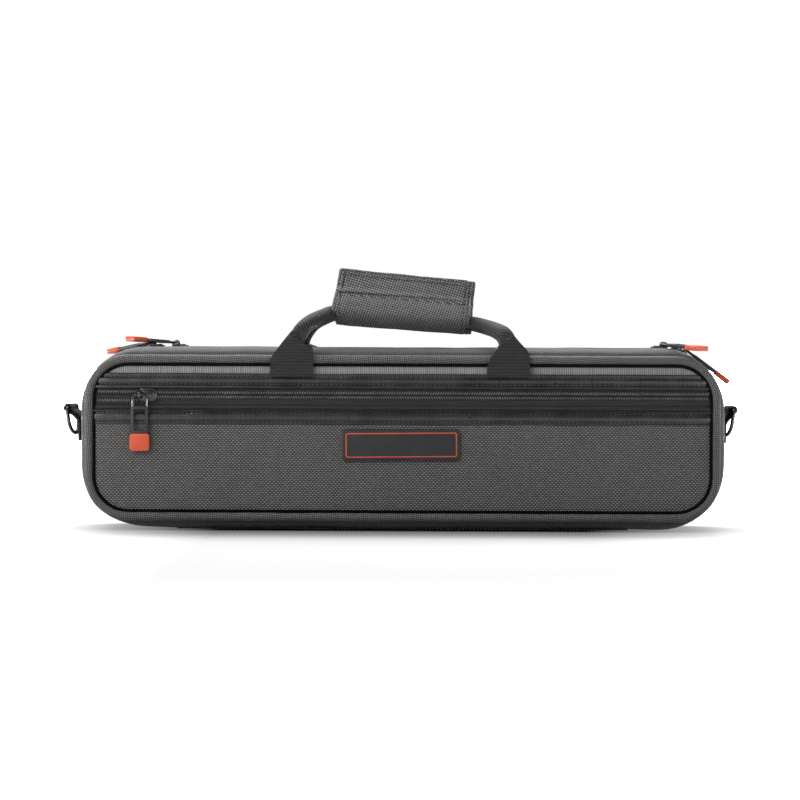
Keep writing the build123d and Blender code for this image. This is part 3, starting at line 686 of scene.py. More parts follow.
def outlined(name, outlines, long_cuts=0, short_cuts=0, keep=False):
    """A piece of rounded outlines. Their straight runs are split, so that they can sag a little."""
    piece = primitive(name, bpy.ops.mesh.primitive_plane_add, size=1)
    edit(piece)
    on_all(bpy.ops.mesh.delete, type="VERT")
    for outline in outlines:
        draw_outline(*outline, keep=keep)
    if long_cuts:
        pick(piece, "EDGE", lambda a, b: abs(a.x - b.x) > mm(120))
        bpy.ops.mesh.subdivide(number_cuts=long_cuts)
        pick(piece, "EDGE", lambda a, b: abs(a.z - b.z) > mm(20) and abs(a.x - b.x) < mm(0.01))
        bpy.ops.mesh.subdivide(number_cuts=short_cuts)
    return piece


def sleeve(name, outlines):
    """Bridge rounded outlines, each (length, height, radius, y), into a sleeve that faces outwards."""
    piece = outlined(name, outlines, 39, 5)
    bpy.ops.mesh.select_mode(type="VERT")
    on_all(bpy.ops.mesh.bridge_edge_loops, type="SINGLE")
    on_all(bpy.ops.mesh.normals_make_consistent, inside=False)
    lay_aside()
    inwards = sum(1 for face in piece.data.polygons
                  if face.normal.x * face.center.x + face.normal.z * (face.center.z - mm(MIDDLE_Z)) < 0)
    flip_if(piece, inwards > len(piece.data.polygons) / 2)
    return piece


def grown(outline, by):
    length, height, radius = outline
    return (length + 2 * by, height + 2 * by, max(radius + by, 0.6))


def gusset(name, profile, body, node, wander, size, seed):
    """Cloth round the case, from a list of (outline, y)."""
    made = sleeve(name, [(*outline, y) for outline, y in profile])
    ruffle(made, wander, size, seed=seed)
    thicken(made, 1.0)
    map_round_case(made)
    return dress(made, gusset_cloth, body, "ballistic_weave", node)


HEM_Y, FOAM_Y, ROLL_Y, SEAM_Y = 7.0, 27.4, 27.0, 39.6     # hem from the zipper, and three depths of the case


def rolled_profile(zip_y, side):
    """From the zipper's hem, over the foam, to the piping."""
    profile = [(grown(CREST, by), zip_y + side * (HEM_Y + past))
               for by, past in ((0.0, 0.0), (0.35, 0.5), (0.35, 1.6), (-0.1, 2.3))]
    profile.append((grown(CREST, 0.2), side * FOAM_Y))
    for share in (0.2, 0.4, 0.6, 0.8, 1.0):
        swing = radians(90 * share)
        outline = tuple(a + (b - a) * (1 - cos(swing)) for a, b in zip(CREST, grown(PIPING, PIPING_RADIUS)))
        profile.append((outline, side * (ROLL_Y + (SEAM_Y - ROLL_Y) * sin(swing))))
    return profile


gusset("lid_gusset_cloth", rolled_profile(LID_ZIP_Y, -1), "lid", "lid_gusset", 0.9, 38.0, 1)
gusset("door_gusset_cloth", rolled_profile(DOOR_ZIP_Y, 1), "rear_door", "door_gusset", 0.9, 38.0, 3)
MIDDLE_PROFILE = ((0.0, -10.0), (0.35, -9.5), (0.35, -8.4), (-0.1, -7.7), (0.15, -3.0), (0.2, 1.0),
                  (0.15, 5.0), (-0.1, 9.7), (0.35, 10.4), (0.35, 11.5), (0.0, 12.0))
gusset("middle_gusset_cloth", [(grown(CREST, by), y) for by, y in MIDDLE_PROFILE],
       "core", "core_gusset", 0.5, 30.0, 5)

# %% [markdown]
# ## The piping
#
# Piping is a cord inside a folded strip of cloth, sewn into the seam round each panel. A rounded
# outline is turned into a curve, the curve gets a round section, and the result becomes a mesh again.
# The seam lets the roll wander very slightly in and out, so noise moves it by a few tenths. A panel dives into
# the seam beside its piping, and hardly any light gets down there, so a thin near-black cord made in the same
# way fills that line as a painted shadow.

# %% Two rolls of piping and their seams
for end, side, body in (("front", -1, "lid"), ("rear", 1, "rear_door")):
    roll = wire(outlined(f"{end}_piping_roll", [(*PIPING, side * PIPING_Y)], 79, 11), PIPING_RADIUS, 4)
    weld(roll)
    ruffle(roll, 0.45, 24.0, seed=8 + side)
    map_cloth(roll, lambda at, face_x: np.sign(face_x) * run_round(at[:, 0], at[:, 2], PIPING),
              lambda at, face_x: PIPING_RADIUS * np.arctan2(at[:, 1] * side - PIPING_Y,
                                                            -inside_by(at[:, 0], at[:, 2], PIPING)))
    dress(roll, piping_cloth, body, "piping_weave", f"{end}_piping", smooth=80)
    # painted shadow: a near-black cord where the panel dives into the seam beside the piping
    cord = wire(outlined(f"{end}_seam_shadow_cord", [(*grown(SEAM_INNER, -0.35), side * (PANEL_Y - 0.35))]), 1.15, 2)
    weld(cord)
    dress(cord, seam_shadow_paint, body, "piping_weave")

# %% [markdown]
# ## The front and back panels
#
# Each panel is one flat piece of cloth inside the piping, over foam and board. A plane gets rounded
# corners, is cut to height with bisect, and is inset a few times. Each inset lets the cloth rise from
# the seam, so the panel looks pulled tight over something soft and not like a plate.

# %% Panels


def cut(axis, place, **clear):
    """In edit mode, cut the whole piece square to X or Z."""
    normal = Vector((axis == "X", 0, axis == "Z"))
    on_all(bpy.ops.mesh.bisect, plane_co=normal * mm(float(place)), plane_no=normal, **clear)


def flat_cut(name, y, low=None, high=None):
    """A flat piece inside the seam line, cut off below low and above high, still one face."""
    piece = outlined(name, [(*SEAM_INNER, y)], keep=True)
    if low is not None:
        cut("Z", low, clear_inner=True)
    if high is not None:
        cut("Z", high, clear_outer=True)
    lay_aside()
    return piece


def near_seam(points, reach):
    """From 0 on the seam line to 1 at reach inside it."""
    return np.clip(inside_by(points[:, 0], points[:, 2], SEAM_INNER) / reach, 0, 1)


SEAM_DIP = 0.9     # how far cloth sinks towards the case where it meets the seam


def panel(name, side, low, high, body, node, rise, ripple, insets=(0.7, 1.2, 2.2), cloth=body_cloth):
    """A panel that sinks towards the case near its seam."""
    piece = flat_cut(name, side * PANEL_Y, low, high)
    edit(piece)
    bpy.ops.mesh.select_all(action="SELECT")
    for width in insets:
        bpy.ops.mesh.inset(thickness=mm(width))
    for place in np.arange(-220, 220, 9.0):
        cut("X", place)
    for place in np.arange(16.0, 118.0, 8.0):
        cut("Z", place)
    lay_aside()
    points = corners_of(piece)
    swell = np.sin(near_seam(points, 7.0) * pi / 2)
    points[:, 1] = side * (np.abs(points[:, 1]) - SEAM_DIP * (1 - swell) + rise * swell)
    put_corners(piece, points)
    weld(piece)
    flip_if(piece, piece.data.polygons[0].normal.y * side < 0)
    ruffle(piece, ripple, 55.0, seed=11 + side)
    thicken(piece, 1.2)
    map_flat(piece)
    return dress(piece, cloth, body, "ballistic_weave", node)


panel("front_panel_cloth", -1, None, 75.4, "lid", "front_panel_lower", 0.35, 0.5)
panel("front_strip_cloth", -1, 109.4, None, "lid", "front_panel_upper", 0.2, 0.25, insets=(),
      cloth=strip_cloth)
panel("back_panel_cloth", 1, None, None, "rear_door", "back_panel", 1.2, 0.9)

# %% [markdown]
# ## The two bands and the pocket zipper
#
# Each band is a strip of coated cloth with its zipper edge folded under. The fold stands up as a rounded
# ridge that takes the light, and each row of stitches pulls a shallow valley. So the strip is cut along
# its length at a few heights, and each cut is moved forward or back to draw that section.

# %% Bands


def drawn_strip(name, section, step=None):
    """A strip that follows a section: a list of (height, how far it stands in front of the panel)."""
    heights, stands = np.array(section).T
    piece = flat_cut(name, -PANEL_Y, heights[0], heights[-1])
    edit(piece)
    for height in heights[1:-1]:
        cut("Z", height)
    if step:
        for place in np.arange(-210, 211, step):
            cut("X", place)
    lay_aside()
    points = corners_of(piece)
    points[:, 1] = -PANEL_Y - np.interp(points[:, 2], heights, stands)
    if step:
        points[:, 1] += SEAM_DIP * (1 - near_seam(points, 3.0))
    put_corners(piece, points)
    if step:
        weld(piece)
    flip_if(piece, sum(face.normal.y for face in piece.data.polygons) > 0)
    return piece


def band(name, node, section):
    piece = drawn_strip(name, section, 6.0)
    ruffle(piece, 0.22, 16.0, seed=21)
    ruffle(piece, 0.3, 70.0, seed=22)
    thicken(piece, 0.6)
    return dress(piece, leather_look, "lid", "leatherette", node, smooth=60)


upper_band = band("upper_band", "upper_trim_band", [
    (99.6, 0.3), (99.8, 1.2), (100.3, 1.75), (101.0, 1.75), (101.7, 1.1), (102.5, 0.35), (103.1, 0.75),
    (104.2, 1.5), (105.6, 1.65), (106.6, 1.35), (107.2, 0.7), (107.7, 0.4), (108.2, 0.75), (109.0, 1.15),
    (109.8, 1.0), (110.2, 0.2)])
lower_band = band("lower_band", "lower_trim_band", [
    (74.4, 0.2), (74.7, 0.9), (75.3, 1.1), (75.8, 0.8), (76.3, 0.4), (76.9, 0.75), (78.0, 1.35), (79.6, 1.5),
    (81.0, 1.25), (81.8, 0.7), (82.4, 0.35), (82.9, 0.8), (83.5, 1.6), (84.1, 1.8), (84.5, 1.4), (84.7, 0.4)])

# %% [markdown]
# Between the bands lies the zipper. Its tape is sunk a little, the lower tape disappears under a narrow
# rolled lip, and the coils stand on the tape. A coil zipper is a thread of plastic wound round and
# round, so each turn shows as one short slanted bar. One turn is modelled as a flattened ball and
# copied all along each row.

# %% Lip and tapes
lip = drawn_strip("pocket_lip_roll", [(84.3, -0.5), (84.8, 0.0), (85.6, 0.25), (86.6, 0.35), (87.4, 0.3),
                                      (87.9, 0.0), (88.2, -0.6)])
TAPE_SINK = 0.9
lower_tape = flat_cut("pocket_lower_tape", TAPE_SINK - PANEL_Y, 87.8, 94.7)
upper_tape = flat_cut("pocket_upper_tape", TAPE_SINK - PANEL_Y, 95.1, 100.0)
for cloth, thickness, slot, node in ((lip, 0.8, "leatherette", "pocket_lip"),
                                     (lower_tape, 0.6, "zipper_tape", "pocket_tape_lower"),
                                     (upper_tape, 0.6, "zipper_tape", "pocket_tape_upper")):
    flip_if(cloth, cloth.data.polygons[0].normal.y > 0)
    thicken(cloth, thickness)
    map_flat(cloth)
    dress(cloth, tape_cloth, "lid", slot, node)

# %% One coil, copied along a row
COIL_SLANT = 62     # degrees that each turn of the coil leans along the zipper
HALF_STEP = COIL_PITCH / 2
PARTING = 12.0      # length over which the rows come together at the slider


def seed_ball(*size):
    """A small stretched ball at the origin, used as the pattern for something that repeats."""
    ball = primitive("ball", bpy.ops.mesh.primitive_uv_sphere_add, segments=6, ring_count=4, radius=0.5)
    return resize(ball, *mm(*size))


def copies(name, pattern, places):
    """One piece made of a copy of the pattern at each place, given as 4x4 matrices in metres."""
    seed = corners_of(pattern) / 1000
    faces = [tuple(face.vertices) for face in pattern.data.polygons]
    turned = [seed @ place[:3, :3].T + place[:3, 3] for place in map(np.array, places)]
    mesh = bpy.data.meshes.new(name)
    mesh.from_pydata(np.concatenate(turned).tolist(), [],
                     [tuple(i + len(seed) * n for i in face) for n in range(len(places)) for face in faces])
    piece = bpy.data.objects.new(name, mesh)
    scene.collection.objects.link(piece)
    bpy.data.objects.remove(pattern)
    return piece


for half, upward, opening in (("upper", 1, 0.6), ("lower", -1, -2.6)):
    places = []
    for x in np.arange(-213.5, 213.5, COIL_PITCH):
        share = np.clip((SLIDER_X + 2 - x) / PARTING, 0, 1)
        parted = share * share * (3 - 2 * share) * opening      # left of the slider the rows lie apart
        height = POCKET_ZIP_Z + upward * 1.55 + parted
        places.append(move(x + (HALF_STEP if upward > 0 else 0), -PANEL_Y - 0.1, height)
                      @ spin(-upward * COIL_SLANT, "Y"))
    row = copies(f"pocket_coil_{half}", seed_ball(3.1, 1.5, 1.05), places)
    dress(row, coil_plastic, "lid", "zipper_teeth", f"pocket_teeth_{half}", smooth=80)

# %% [markdown]
# ## The two long zippers round the gusset
#
# The same coils run round the crest of the case. A place on the crest is found from the distance along
# it, together with the direction in which the zipper runs and the direction outwards.

# %% Places on the crest


def on_crest(distance):
    """Place and turn at a distance along the crest from the middle of the top."""
    length, height, radius = CREST
    flat_x, flat_z = length / 2 - radius, height / 2 - radius
    quarter = radius * pi / 2
    sign = 1 if distance >= 0 else -1
    past_top = abs(distance) - flat_x
    past_side = past_top - quarter - 2 * flat_z
    if past_top <= 0:
        x, z, swing = abs(distance), flat_z + radius, 0.0
    elif past_top <= quarter:
        swing = past_top / radius
        x, z = flat_x + radius * sin(swing), flat_z + radius * cos(swing)
    elif past_side <= 0:
        x, z, swing = flat_x + radius, flat_z - (past_top - quarter), pi / 2
    elif past_side <= quarter:
        swing = pi / 2 + past_side / radius
        x, z = flat_x + radius * sin(swing), -flat_z + radius * cos(swing)
    else:
        x, z, swing = flat_x - (past_side - quarter), -flat_z - radius, pi
    return x * sign, z + MIDDLE_Z, swing * sign


def crest_place(distance, y, sink, slant):
    """4x4 place on the crest: X along it, Z outwards, sunk by sink and turned in the cloth by slant."""
    x, z, swing = on_crest(distance)
    return move(x, y, z) @ Matrix.Rotation(swing, 4, "Y") @ move(z=-sink) @ spin(slant, "Z")


for name, zip_y, side, body in (("lid_zip", LID_ZIP_Y, -1, "lid"), ("core_front_zip", LID_ZIP_Y, 1, "core"),
                                ("core_rear_zip", DOOR_ZIP_Y, -1, "core"),
                                ("door_zip", DOOR_ZIP_Y, 1, "rear_door")):
    row = copies(f"{name}_coil", seed_ball(3.0, 1.5, 1.3),
                 [crest_place(d + (HALF_STEP if side > 0 else 0), zip_y + side * 1.6, 1.1, side * COIL_SLANT)
                  for d in np.arange(-ZIP_STOP, ZIP_STOP, COIL_PITCH)])
    dress(row, coil_plastic, body, "zipper_teeth", f"{name}_teeth", smooth=80)
    tape = sleeve(f"{name}_strip", [(*grown(CREST, by), zip_y + side * y)
                                    for by, y in ((-1.5, 0.35), (-1.5, 3.0), (-1.3, 5.5), (-1.25, 8.0))])
    edit(tape)
    pick(tape, "FACE", lambda at, normal: at.z < mm(8) and abs(at.x) < mm(149))
    bpy.ops.mesh.delete(type="FACE")
    lay_aside()
    thicken(tape, 0.6)
    map_round_case(tape)
    dress(tape, tape_cloth, body, "zipper_tape", f"{name}_tape")

# %% [markdown]
# ## Stitches
#
# Stitches are small stretched balls laid on the cloth one by one: a ray is cast at the cloth from each
# place along a line, and the stitch lies where it hits, turned along the line.

# %% Rows of stitches


def run_of(rows):
    """Distance along a line of points, at each of them."""
    return np.concatenate([[0], np.cumsum(np.linalg.norm(np.diff(rows[:, :3], axis=0), axis=1))])


def columns_at(places, run, rows):
    """Every column of the rows, read at new places along the run."""
    return np.stack([np.interp(places, run, rows[:, k]) for k in range(rows.shape[1])], axis=1)


def stitches(name, cloth, lines, toward, material, body, slot, pitch=3.1, length=2.3, width=0.8, proud=0.1):
    """Stitches on a cloth along lines, found by rays from 30 mm away that run in the direction toward."""
    ray = Vector(toward)
    places = []
    for line in lines:
        line = np.array(line, float)
        run = run_of(line)
        at = np.arange(pitch / 2, run[-1], pitch)
        ahead = columns_at(at + 0.1, run, line) - columns_at(at - 0.1, run, line)
        for point, along in zip(columns_at(at, run, line), map(Vector, ahead)):
            hit, where, normal = cloth.ray_cast(Vector(mm(*point)) - ray * mm(30), ray)[:3]
            if not hit:
                continue
            out = -ray if normal.dot(ray) > 0 else normal
            along = (along - out * along.dot(out)).normalized()
            turn = Matrix((along, out.cross(along), out)).transposed().to_4x4()
            places.append(Matrix.Translation(where + out * mm(proud)) @ turn)
    return dress(copies(name, seed_ball(length, width, 0.7), places), material, body, slot, smooth=80)


def half_width(z):
    """How far a row of stitches reaches from the middle at a height."""
    length, height, radius = SEAM_INNER
    over = max(abs(z - MIDDLE_Z) - (height / 2 - radius), 0)
    return length / 2 - radius + (radius ** 2 - over ** 2) ** 0.5 - 1.5


for cloth, heights in ((upper_band, (102.5, 107.7)), (lower_band, (76.3, 82.4))):
    lines = [[(-half_width(z), -46, z), (half_width(z), -46, z)] for z in heights]
    stitches(f"{cloth.name}_stitches", cloth, lines, (0, 1, 0), thread_cotton, "lid", "leatherette",
             pitch=3.3, length=2.1, proud=0.15)

# %% [markdown]
# ## The badge
#
# The badge is a moulded rubber plate with a thin coloured frame standing a hair above it. Both start
# as a cube that is rounded at its corners first and along its front edges second, which is the order
# that keeps the small radius even all the way round. The same plate serves for the zipper parts.

# %% Rounded plates


def plate(name, length, width, thickness, radius, edge, ends=(True, True)):
    """Plate round the origin, flat in X and Y, with rounded corners at the wanted ends."""
    piece = primitive(name, bpy.ops.mesh.primitive_cube_add, size=1)
    resize(piece, *mm(length, width, thickness))
    edit(piece)
    pick(piece, "EDGE", lambda a, b: abs(a.z - b.z) > mm(thickness / 2) and ends[0 if a.x < 0 else 1])
    bpy.ops.mesh.bevel(offset=mm(radius), segments=5)
    flat = mm(thickness / 2 - 0.01)
    pick(piece, "EDGE", lambda a, b: min(a.z, b.z) > flat or max(a.z, b.z) < -flat)
    bpy.ops.mesh.bevel(offset=mm(edge), segments=2)
    lay_aside()
    return piece


def open_window(piece, rim):
    """Leave a rim of a flat plate, and take out what it surrounds."""
    edit(piece)
    pick(piece, "FACE", lambda at, normal: abs(normal.z) > 0.99)
    bpy.ops.mesh.inset(thickness=mm(rim))
    bpy.ops.mesh.bridge_edge_loops()
    weld(piece, 0.001)


badge_place = move(-0.5, -PANEL_Y - 1.25, 60.4) @ spin(-0.6, "Y") @ spin(90, "X")
badge = put(plate("badge_plate", 82.5, 22.5, 1.9, 2.5, 0.6), badge_place)
dress(badge, badge_rubber, "lid", "badge_rubber", "badge_base")
badge_line = plate("badge_line", 78.0, 17.2, 0.7, 1.6, 0.2)
open_window(badge_line, 0.55)
put(badge_line, badge_place @ move(z=0.85))
dress(badge_line, orange_rubber, "lid", "orange_rubber", "badge_frame", smooth=30)

# %% [markdown]
# ## The handle straps
#
# Each strap is one length of webbing. It lies flat on the panel, folds in over the top of the case, and
# goes on as a round tube that rises behind the fold and runs into the grip. The flat end is a grid
# whose two edges follow the drawn edges of the fold. The tube is a grid laid along a soft line, with a
# curl that turns its cross-section from a flat strip into a closed tube whose edges meet at the back.

# %% One strap


def soft_line(stops, count):
    """Evenly spaced rows along a smooth curve through the stops. Each stop is a list of numbers."""
    stops = np.array(stops, float)
    padded = np.concatenate([2 * stops[:1] - stops[1:2], stops, 2 * stops[-1:] - stops[-2:-1]])
    rows = []
    for k in range(1, len(padded) - 2):
        a, b, c, d = padded[k - 1:k + 3]
        for t in np.linspace(0, 1, 24, endpoint=False):
            rows.append(0.5 * (2 * b + (c - a) * t + (2 * a - 5 * b + 4 * c - d) * t ** 2
                               + (3 * b - a - 3 * c + d) * t ** 3))
    rows = np.array([*rows, padded[-2]])
    run = run_of(rows)
    at = np.linspace(0, run[-1], count)
    return columns_at(at, run, rows), at


def flat_grid(name, across, along, **place):
    return primitive(name, bpy.ops.mesh.primitive_grid_add, x_subdivisions=across, y_subdivisions=along, size=1,
                     **place)


def curled_strip(name, stops, facing, width=30.0, tube=40.0, across=28, count=90, weave_lean=0.7):
    """A strip along (x, y, z, curl, flatness, girth) stops that starts out facing the given way."""
    rows, at = soft_line(stops, count)
    centre, curl = rows[:, :3], np.clip(rows[:, 3], 0, 1)
    ahead = np.gradient(centre, axis=0)
    ahead /= np.linalg.norm(ahead, axis=1)[:, None]
    front = np.zeros_like(centre)
    front[0] = facing
    for k in range(1, count):
        front[k] = front[k - 1] - ahead[k] * front[k - 1].dot(ahead[k])
        front[k] /= np.linalg.norm(front[k])
    piece = flat_grid(name, across, count)
    grid = corners_of(piece) / 1000
    step = np.clip((grid[:, 1] + 0.5) * (count - 1), 0, count - 1)
    table = np.column_stack([centre, np.cross(ahead, front), front, curl, rows[:, 4:], at])
    table = columns_at(step, np.arange(count), table)
    centre, side, front = table[:, :3], table[:, 3:6], table[:, 6:9]
    bend, flatness, girth, reached = table[:, 9:].T
    turn = np.maximum(bend * 2 * pi * 0.985, 1e-3)
    radius = (width + (tube - width) * bend) / turn * girth
    angle = grid[:, 0] * turn
    out = radius * (np.cos(angle) - 1 + bend) * flatness
    over = radius * np.sin(angle)
    put_corners(piece, centre + side * over[:, None] + front * out[:, None])
    map_cloth(piece, grid[:, 0] * width, reached + weave_lean * grid[:, 0] * width)
    return piece


def folded_webbing(name, edges, side):
    """The flat end of a strap: its two edges run up the panel and come together where it folds."""
    steps = 60
    piece = flat_grid(name, 20, steps)
    grid = corners_of(piece) / 1000
    share, over = (grid[:, 1] + 0.5) * steps, grid[:, 0] + 0.5
    left, right = [soft_line([(x, 0, z) for x, z in edge], steps + 1)[0] for edge in edges]
    left, right = [columns_at(share, np.arange(steps + 1), rows) for rows in (left, right)]
    flat = left * (1 - over[:, None]) + right * over[:, None]
    lean = np.clip((flat[:, 2] - 122) / 18, 0, 1)
    flat[:, 1] = side * (47.7 - 0.9 * lean ** 2 - 1.6 * lean * np.abs(2 * over - 1) ** 2)
    put_corners(piece, flat)
    map_flat(piece)
    flip_if(piece, piece.data.polygons[0].normal.y * side < 0)
    thicken(piece, 1.9)
    return piece


LEFT_FOLD = ([(-92.4, 108.8), (-92.2, 116), (-91.4, 122), (-84.6, 131.6), (-77.8, 140.2)],
             [(-62.3, 108.8), (-62.5, 118), (-62.8, 128.2), (-69.8, 131.9), (-77.0, 139.4)])
RIGHT_FOLD = ([(59.2, 108.8), (59.8, 116), (62.2, 122.6), (68.6, 130.4), (75.2, 137.4)],
              [(89.4, 108.8), (89.2, 117), (88.4, 125.3), (82.6, 132.2), (78.2, 137.4)])
LEFT_TUBE = [(-75.8, 43.2, 116), (-75.4, 42.6, 126), (-74.4, 40.6, 133.8), (-70.7, 36.5, 140.7),
             (-64.9, 29, 146.5), (-56, 17.0, 150.9), (-48, 8.4, 153.6), (-36, 6.4, 153.4), (-18, 5.5, 151.8),
             (0, 5.5, 150.2)]
RIGHT_TUBE = [(74.6, 43.2, 114), (75.2, 42.6, 124), (74.6, 40.6, 131.6), (71.6, 36.5, 137.6), (66.2, 29, 141),
              (58.6, 17.0, 143.6), (48.6, 8.4, 146), (36, 6.4, 147), (18, 5.5, 148.8), (0, 5.5, 150.2)]
FLATNESS = np.interp(range(10), [0, 1, 2, 3, 6, 7, 8, 9], [0.3, 0.35, 0.7, 1, 0.7, 0.5, 0.4, 0.4])
GIRTH = np.interp(range(10), [0, 2, 4, 6, 7, 9], [1, 0.92, 0.86, 0.92, 0.85, 0.8])

for side, body, end in ((-1, "lid", "front"), (1, "rear_door", "rear")):
    parts = []
    for hand, fold, tube in (("left", LEFT_FOLD, LEFT_TUBE), ("right", RIGHT_FOLD, RIGHT_TUBE)):
        stops = [(x, side * y, z, 1, flat, wide) for (x, y, z), flat, wide in zip(tube, FLATNESS, GIRTH)]
        parts += [folded_webbing(f"fold_{hand}", fold, side), curled_strip(f"roll_{hand}", stops, (0, side, 0))]
    strap = joined(f"handle_webbing_{end}", parts)
    dress(strap, webbing_cloth, body, "black_webbing", f"handle_strap_{end}", smooth=50)
    lines = [[(x + first, side * 49, low), (x + last, side * 49, 119)] for x in (-77.4, 74.2)
             for first, last, low in ((-12, -12, 110.5), (12, 12, 110.5), (-12, 12, 119))]
    stitches(f"handle_stitches_{end}", strap, lines, (0, -side, 0), dark_thread, body, "black_webbing",
             width=0.7)

# %% [markdown]
# ## The padded grip
#
# The grip is two padded halves that close over the straps. A copy of each half is remeshed into even
# faces, and its outside is blown up a little as cloth while its edges are held. After that it is
# subdivided, and every row of stitches presses a groove into the padding.

# %% Soft copies


def soft_copy(name, node, size, turned=Matrix.Identity(4)):
    """Copy of a solid with an even skin of small faces that run along the solid's own directions."""
    take(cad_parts[node])
    bpy.ops.object.duplicate()
    piece = bpy.context.object
    piece.name = name
    weld(piece, 0.01)
    put(piece, turned.inverted())
    apply_modifier(piece, "REMESH", mode="VOXEL", voxel_size=mm(size))
    return put(piece, turned)


PUFF_FRAMES = 20


def puff(piece, held, cap):
    """Blow the piece up as cloth with some of it held, and keep each point within cap of its start."""
    start = corners_of(piece)
    group = piece.vertex_groups.new(name="held")
    for index, point in enumerate(start):
        group.add([index], float(held(point)), "REPLACE")
    take(piece)
    cloth = piece.modifiers.new("puff", "CLOTH")
    set_all(cloth.settings, dict(quality=5, mass=0.2, use_pressure=True, uniform_pressure_force=4.0,
                                 vertex_group_mass="held"))
    cloth.settings.effector_weights.gravity = 0.0
    set_all(cloth.point_cache, dict(frame_start=1, frame_end=PUFF_FRAMES))
    for at in range(1, PUFF_FRAMES + 1):
        scene.frame_set(at)
    bpy.ops.object.modifier_apply(modifier="puff")
    moved = corners_of(piece) - start
    far = np.linalg.norm(moved, axis=1)[:, None]
    put_corners(piece, start + moved * np.minimum(1, cap / np.maximum(far, 1e-6)))
    scene.frame_set(1)
    print(f"{piece.name}: puffed by up to {min(far.max(), cap):.2f} mm")


# %% Both halves of the grip
GRIP_MIDDLE = Vector((-1.2, 0, 150.2))
GRIP_TURN = radians(4.8)
GRIP_HALF, GRIP_TOP = 47.25, 30.7       # half its length, and its top edge above the middle
GRIP_NECK = 14.3                        # where the round part below becomes the flat part above
TUBE_Z, TUBE_Y, TUBE_RADIUS = 3.25, 6.0, 11.0


def in_grip(point):
    """Along the grip and across it, from its middle."""
    dx, dz = point[0] - GRIP_MIDDLE.x, point[2] - GRIP_MIDDLE.z
    return dx * cos(GRIP_TURN) - dz * sin(GRIP_TURN), dx * sin(GRIP_TURN) + dz * cos(GRIP_TURN)


def grip_line(along, across, depth):
    """A point beside the grip from its own coordinates."""
    return (GRIP_MIDDLE.x + along * cos(GRIP_TURN) + across * sin(GRIP_TURN), depth,
            GRIP_MIDDLE.z - along * sin(GRIP_TURN) + across * cos(GRIP_TURN))


def share_of(value, start, end):
    """From 0 at start to 1 at end."""
    return min(max((value - start) / (end - start), 0), 1)


def slack(point, shift=0.0):
    """The wrap is fuller than its pattern: thick above the straps, narrow below, and a little askew."""
    along, across = in_grip(point)
    depth = abs(point[1])
    if across < 12.6:
        skin = TUBE_Y + max(TUBE_RADIUS ** 2 - (across - TUBE_Z) ** 2, 0) ** 0.5
    else:
        skin = float(np.interp(across, (12.6, 13.6, 14.6, 15.6), (11.7, 9.2, 6.0, 4.6)))
    full = 4.6 + 12.4 * (1 - share_of(across, 4, GRIP_TOP)) ** 1.3
    if across > TUBE_Z and full > skin:
        depth += share_of(depth / skin, 0.6, 0.9) * (full - skin)
    depth *= 1 - 0.42 * share_of(across, TUBE_Z, TUBE_Z - TUBE_RADIUS) ** 1.5
    heights = (-8, 3, GRIP_NECK, GRIP_TOP)
    stretched = along * float(np.interp(across, heights, (1.008, 1.043, 1.035, 1.023)))
    stretched += float(np.interp(across, heights, (1.5, -0.7, -0.3, 0.85))) + shift
    lean = along / GRIP_HALF
    lift = (1.15 - 0.75 * lean) * share_of(across, GRIP_NECK, GRIP_TOP)
    drop = (1.8 - 0.8 * lean) * share_of(across, GRIP_NECK, GRIP_NECK - 22)
    return grip_line(stretched, across + lift - drop, depth if point[1] > 0 else -depth)


def grip_groove(at):
    """How deep the stitches press at a point, on the outside only."""
    along, across = in_grip(at)
    edge, top = GRIP_HALF - abs(along), GRIP_TOP - across
    rows = (edge - 2.3, edge - 5.0, top - 2.4, top - 5.0, across - 15.0 - 0.012 * along)
    return -0.55 * max(exp(-(row / 0.8) ** 2) for row in rows) if abs(at[1]) > 3.0 else 0.0


def hold_grip(point):
    """Edges, stitched rows and the inner face don't puff up."""
    along, across = in_grip(point)
    rim = min(GRIP_HALF - abs(along), GRIP_TOP - across)
    return 1.0 if rim < 5.5 or abs(across - 15) < 1.5 or abs(point[1]) < 3.0 else 0.05


def round_grip(at):
    """Distance over the outside of the grip, round the tube and then up the flat part."""
    across = in_grip(at.T)[1]
    bend = TUBE_RADIUS * np.arctan2(across - TUBE_Z, np.abs(at[:, 1]) - TUBE_Y)
    return np.where(across > GRIP_NECK, TUBE_RADIUS * 1.76 + across - GRIP_NECK, bend)


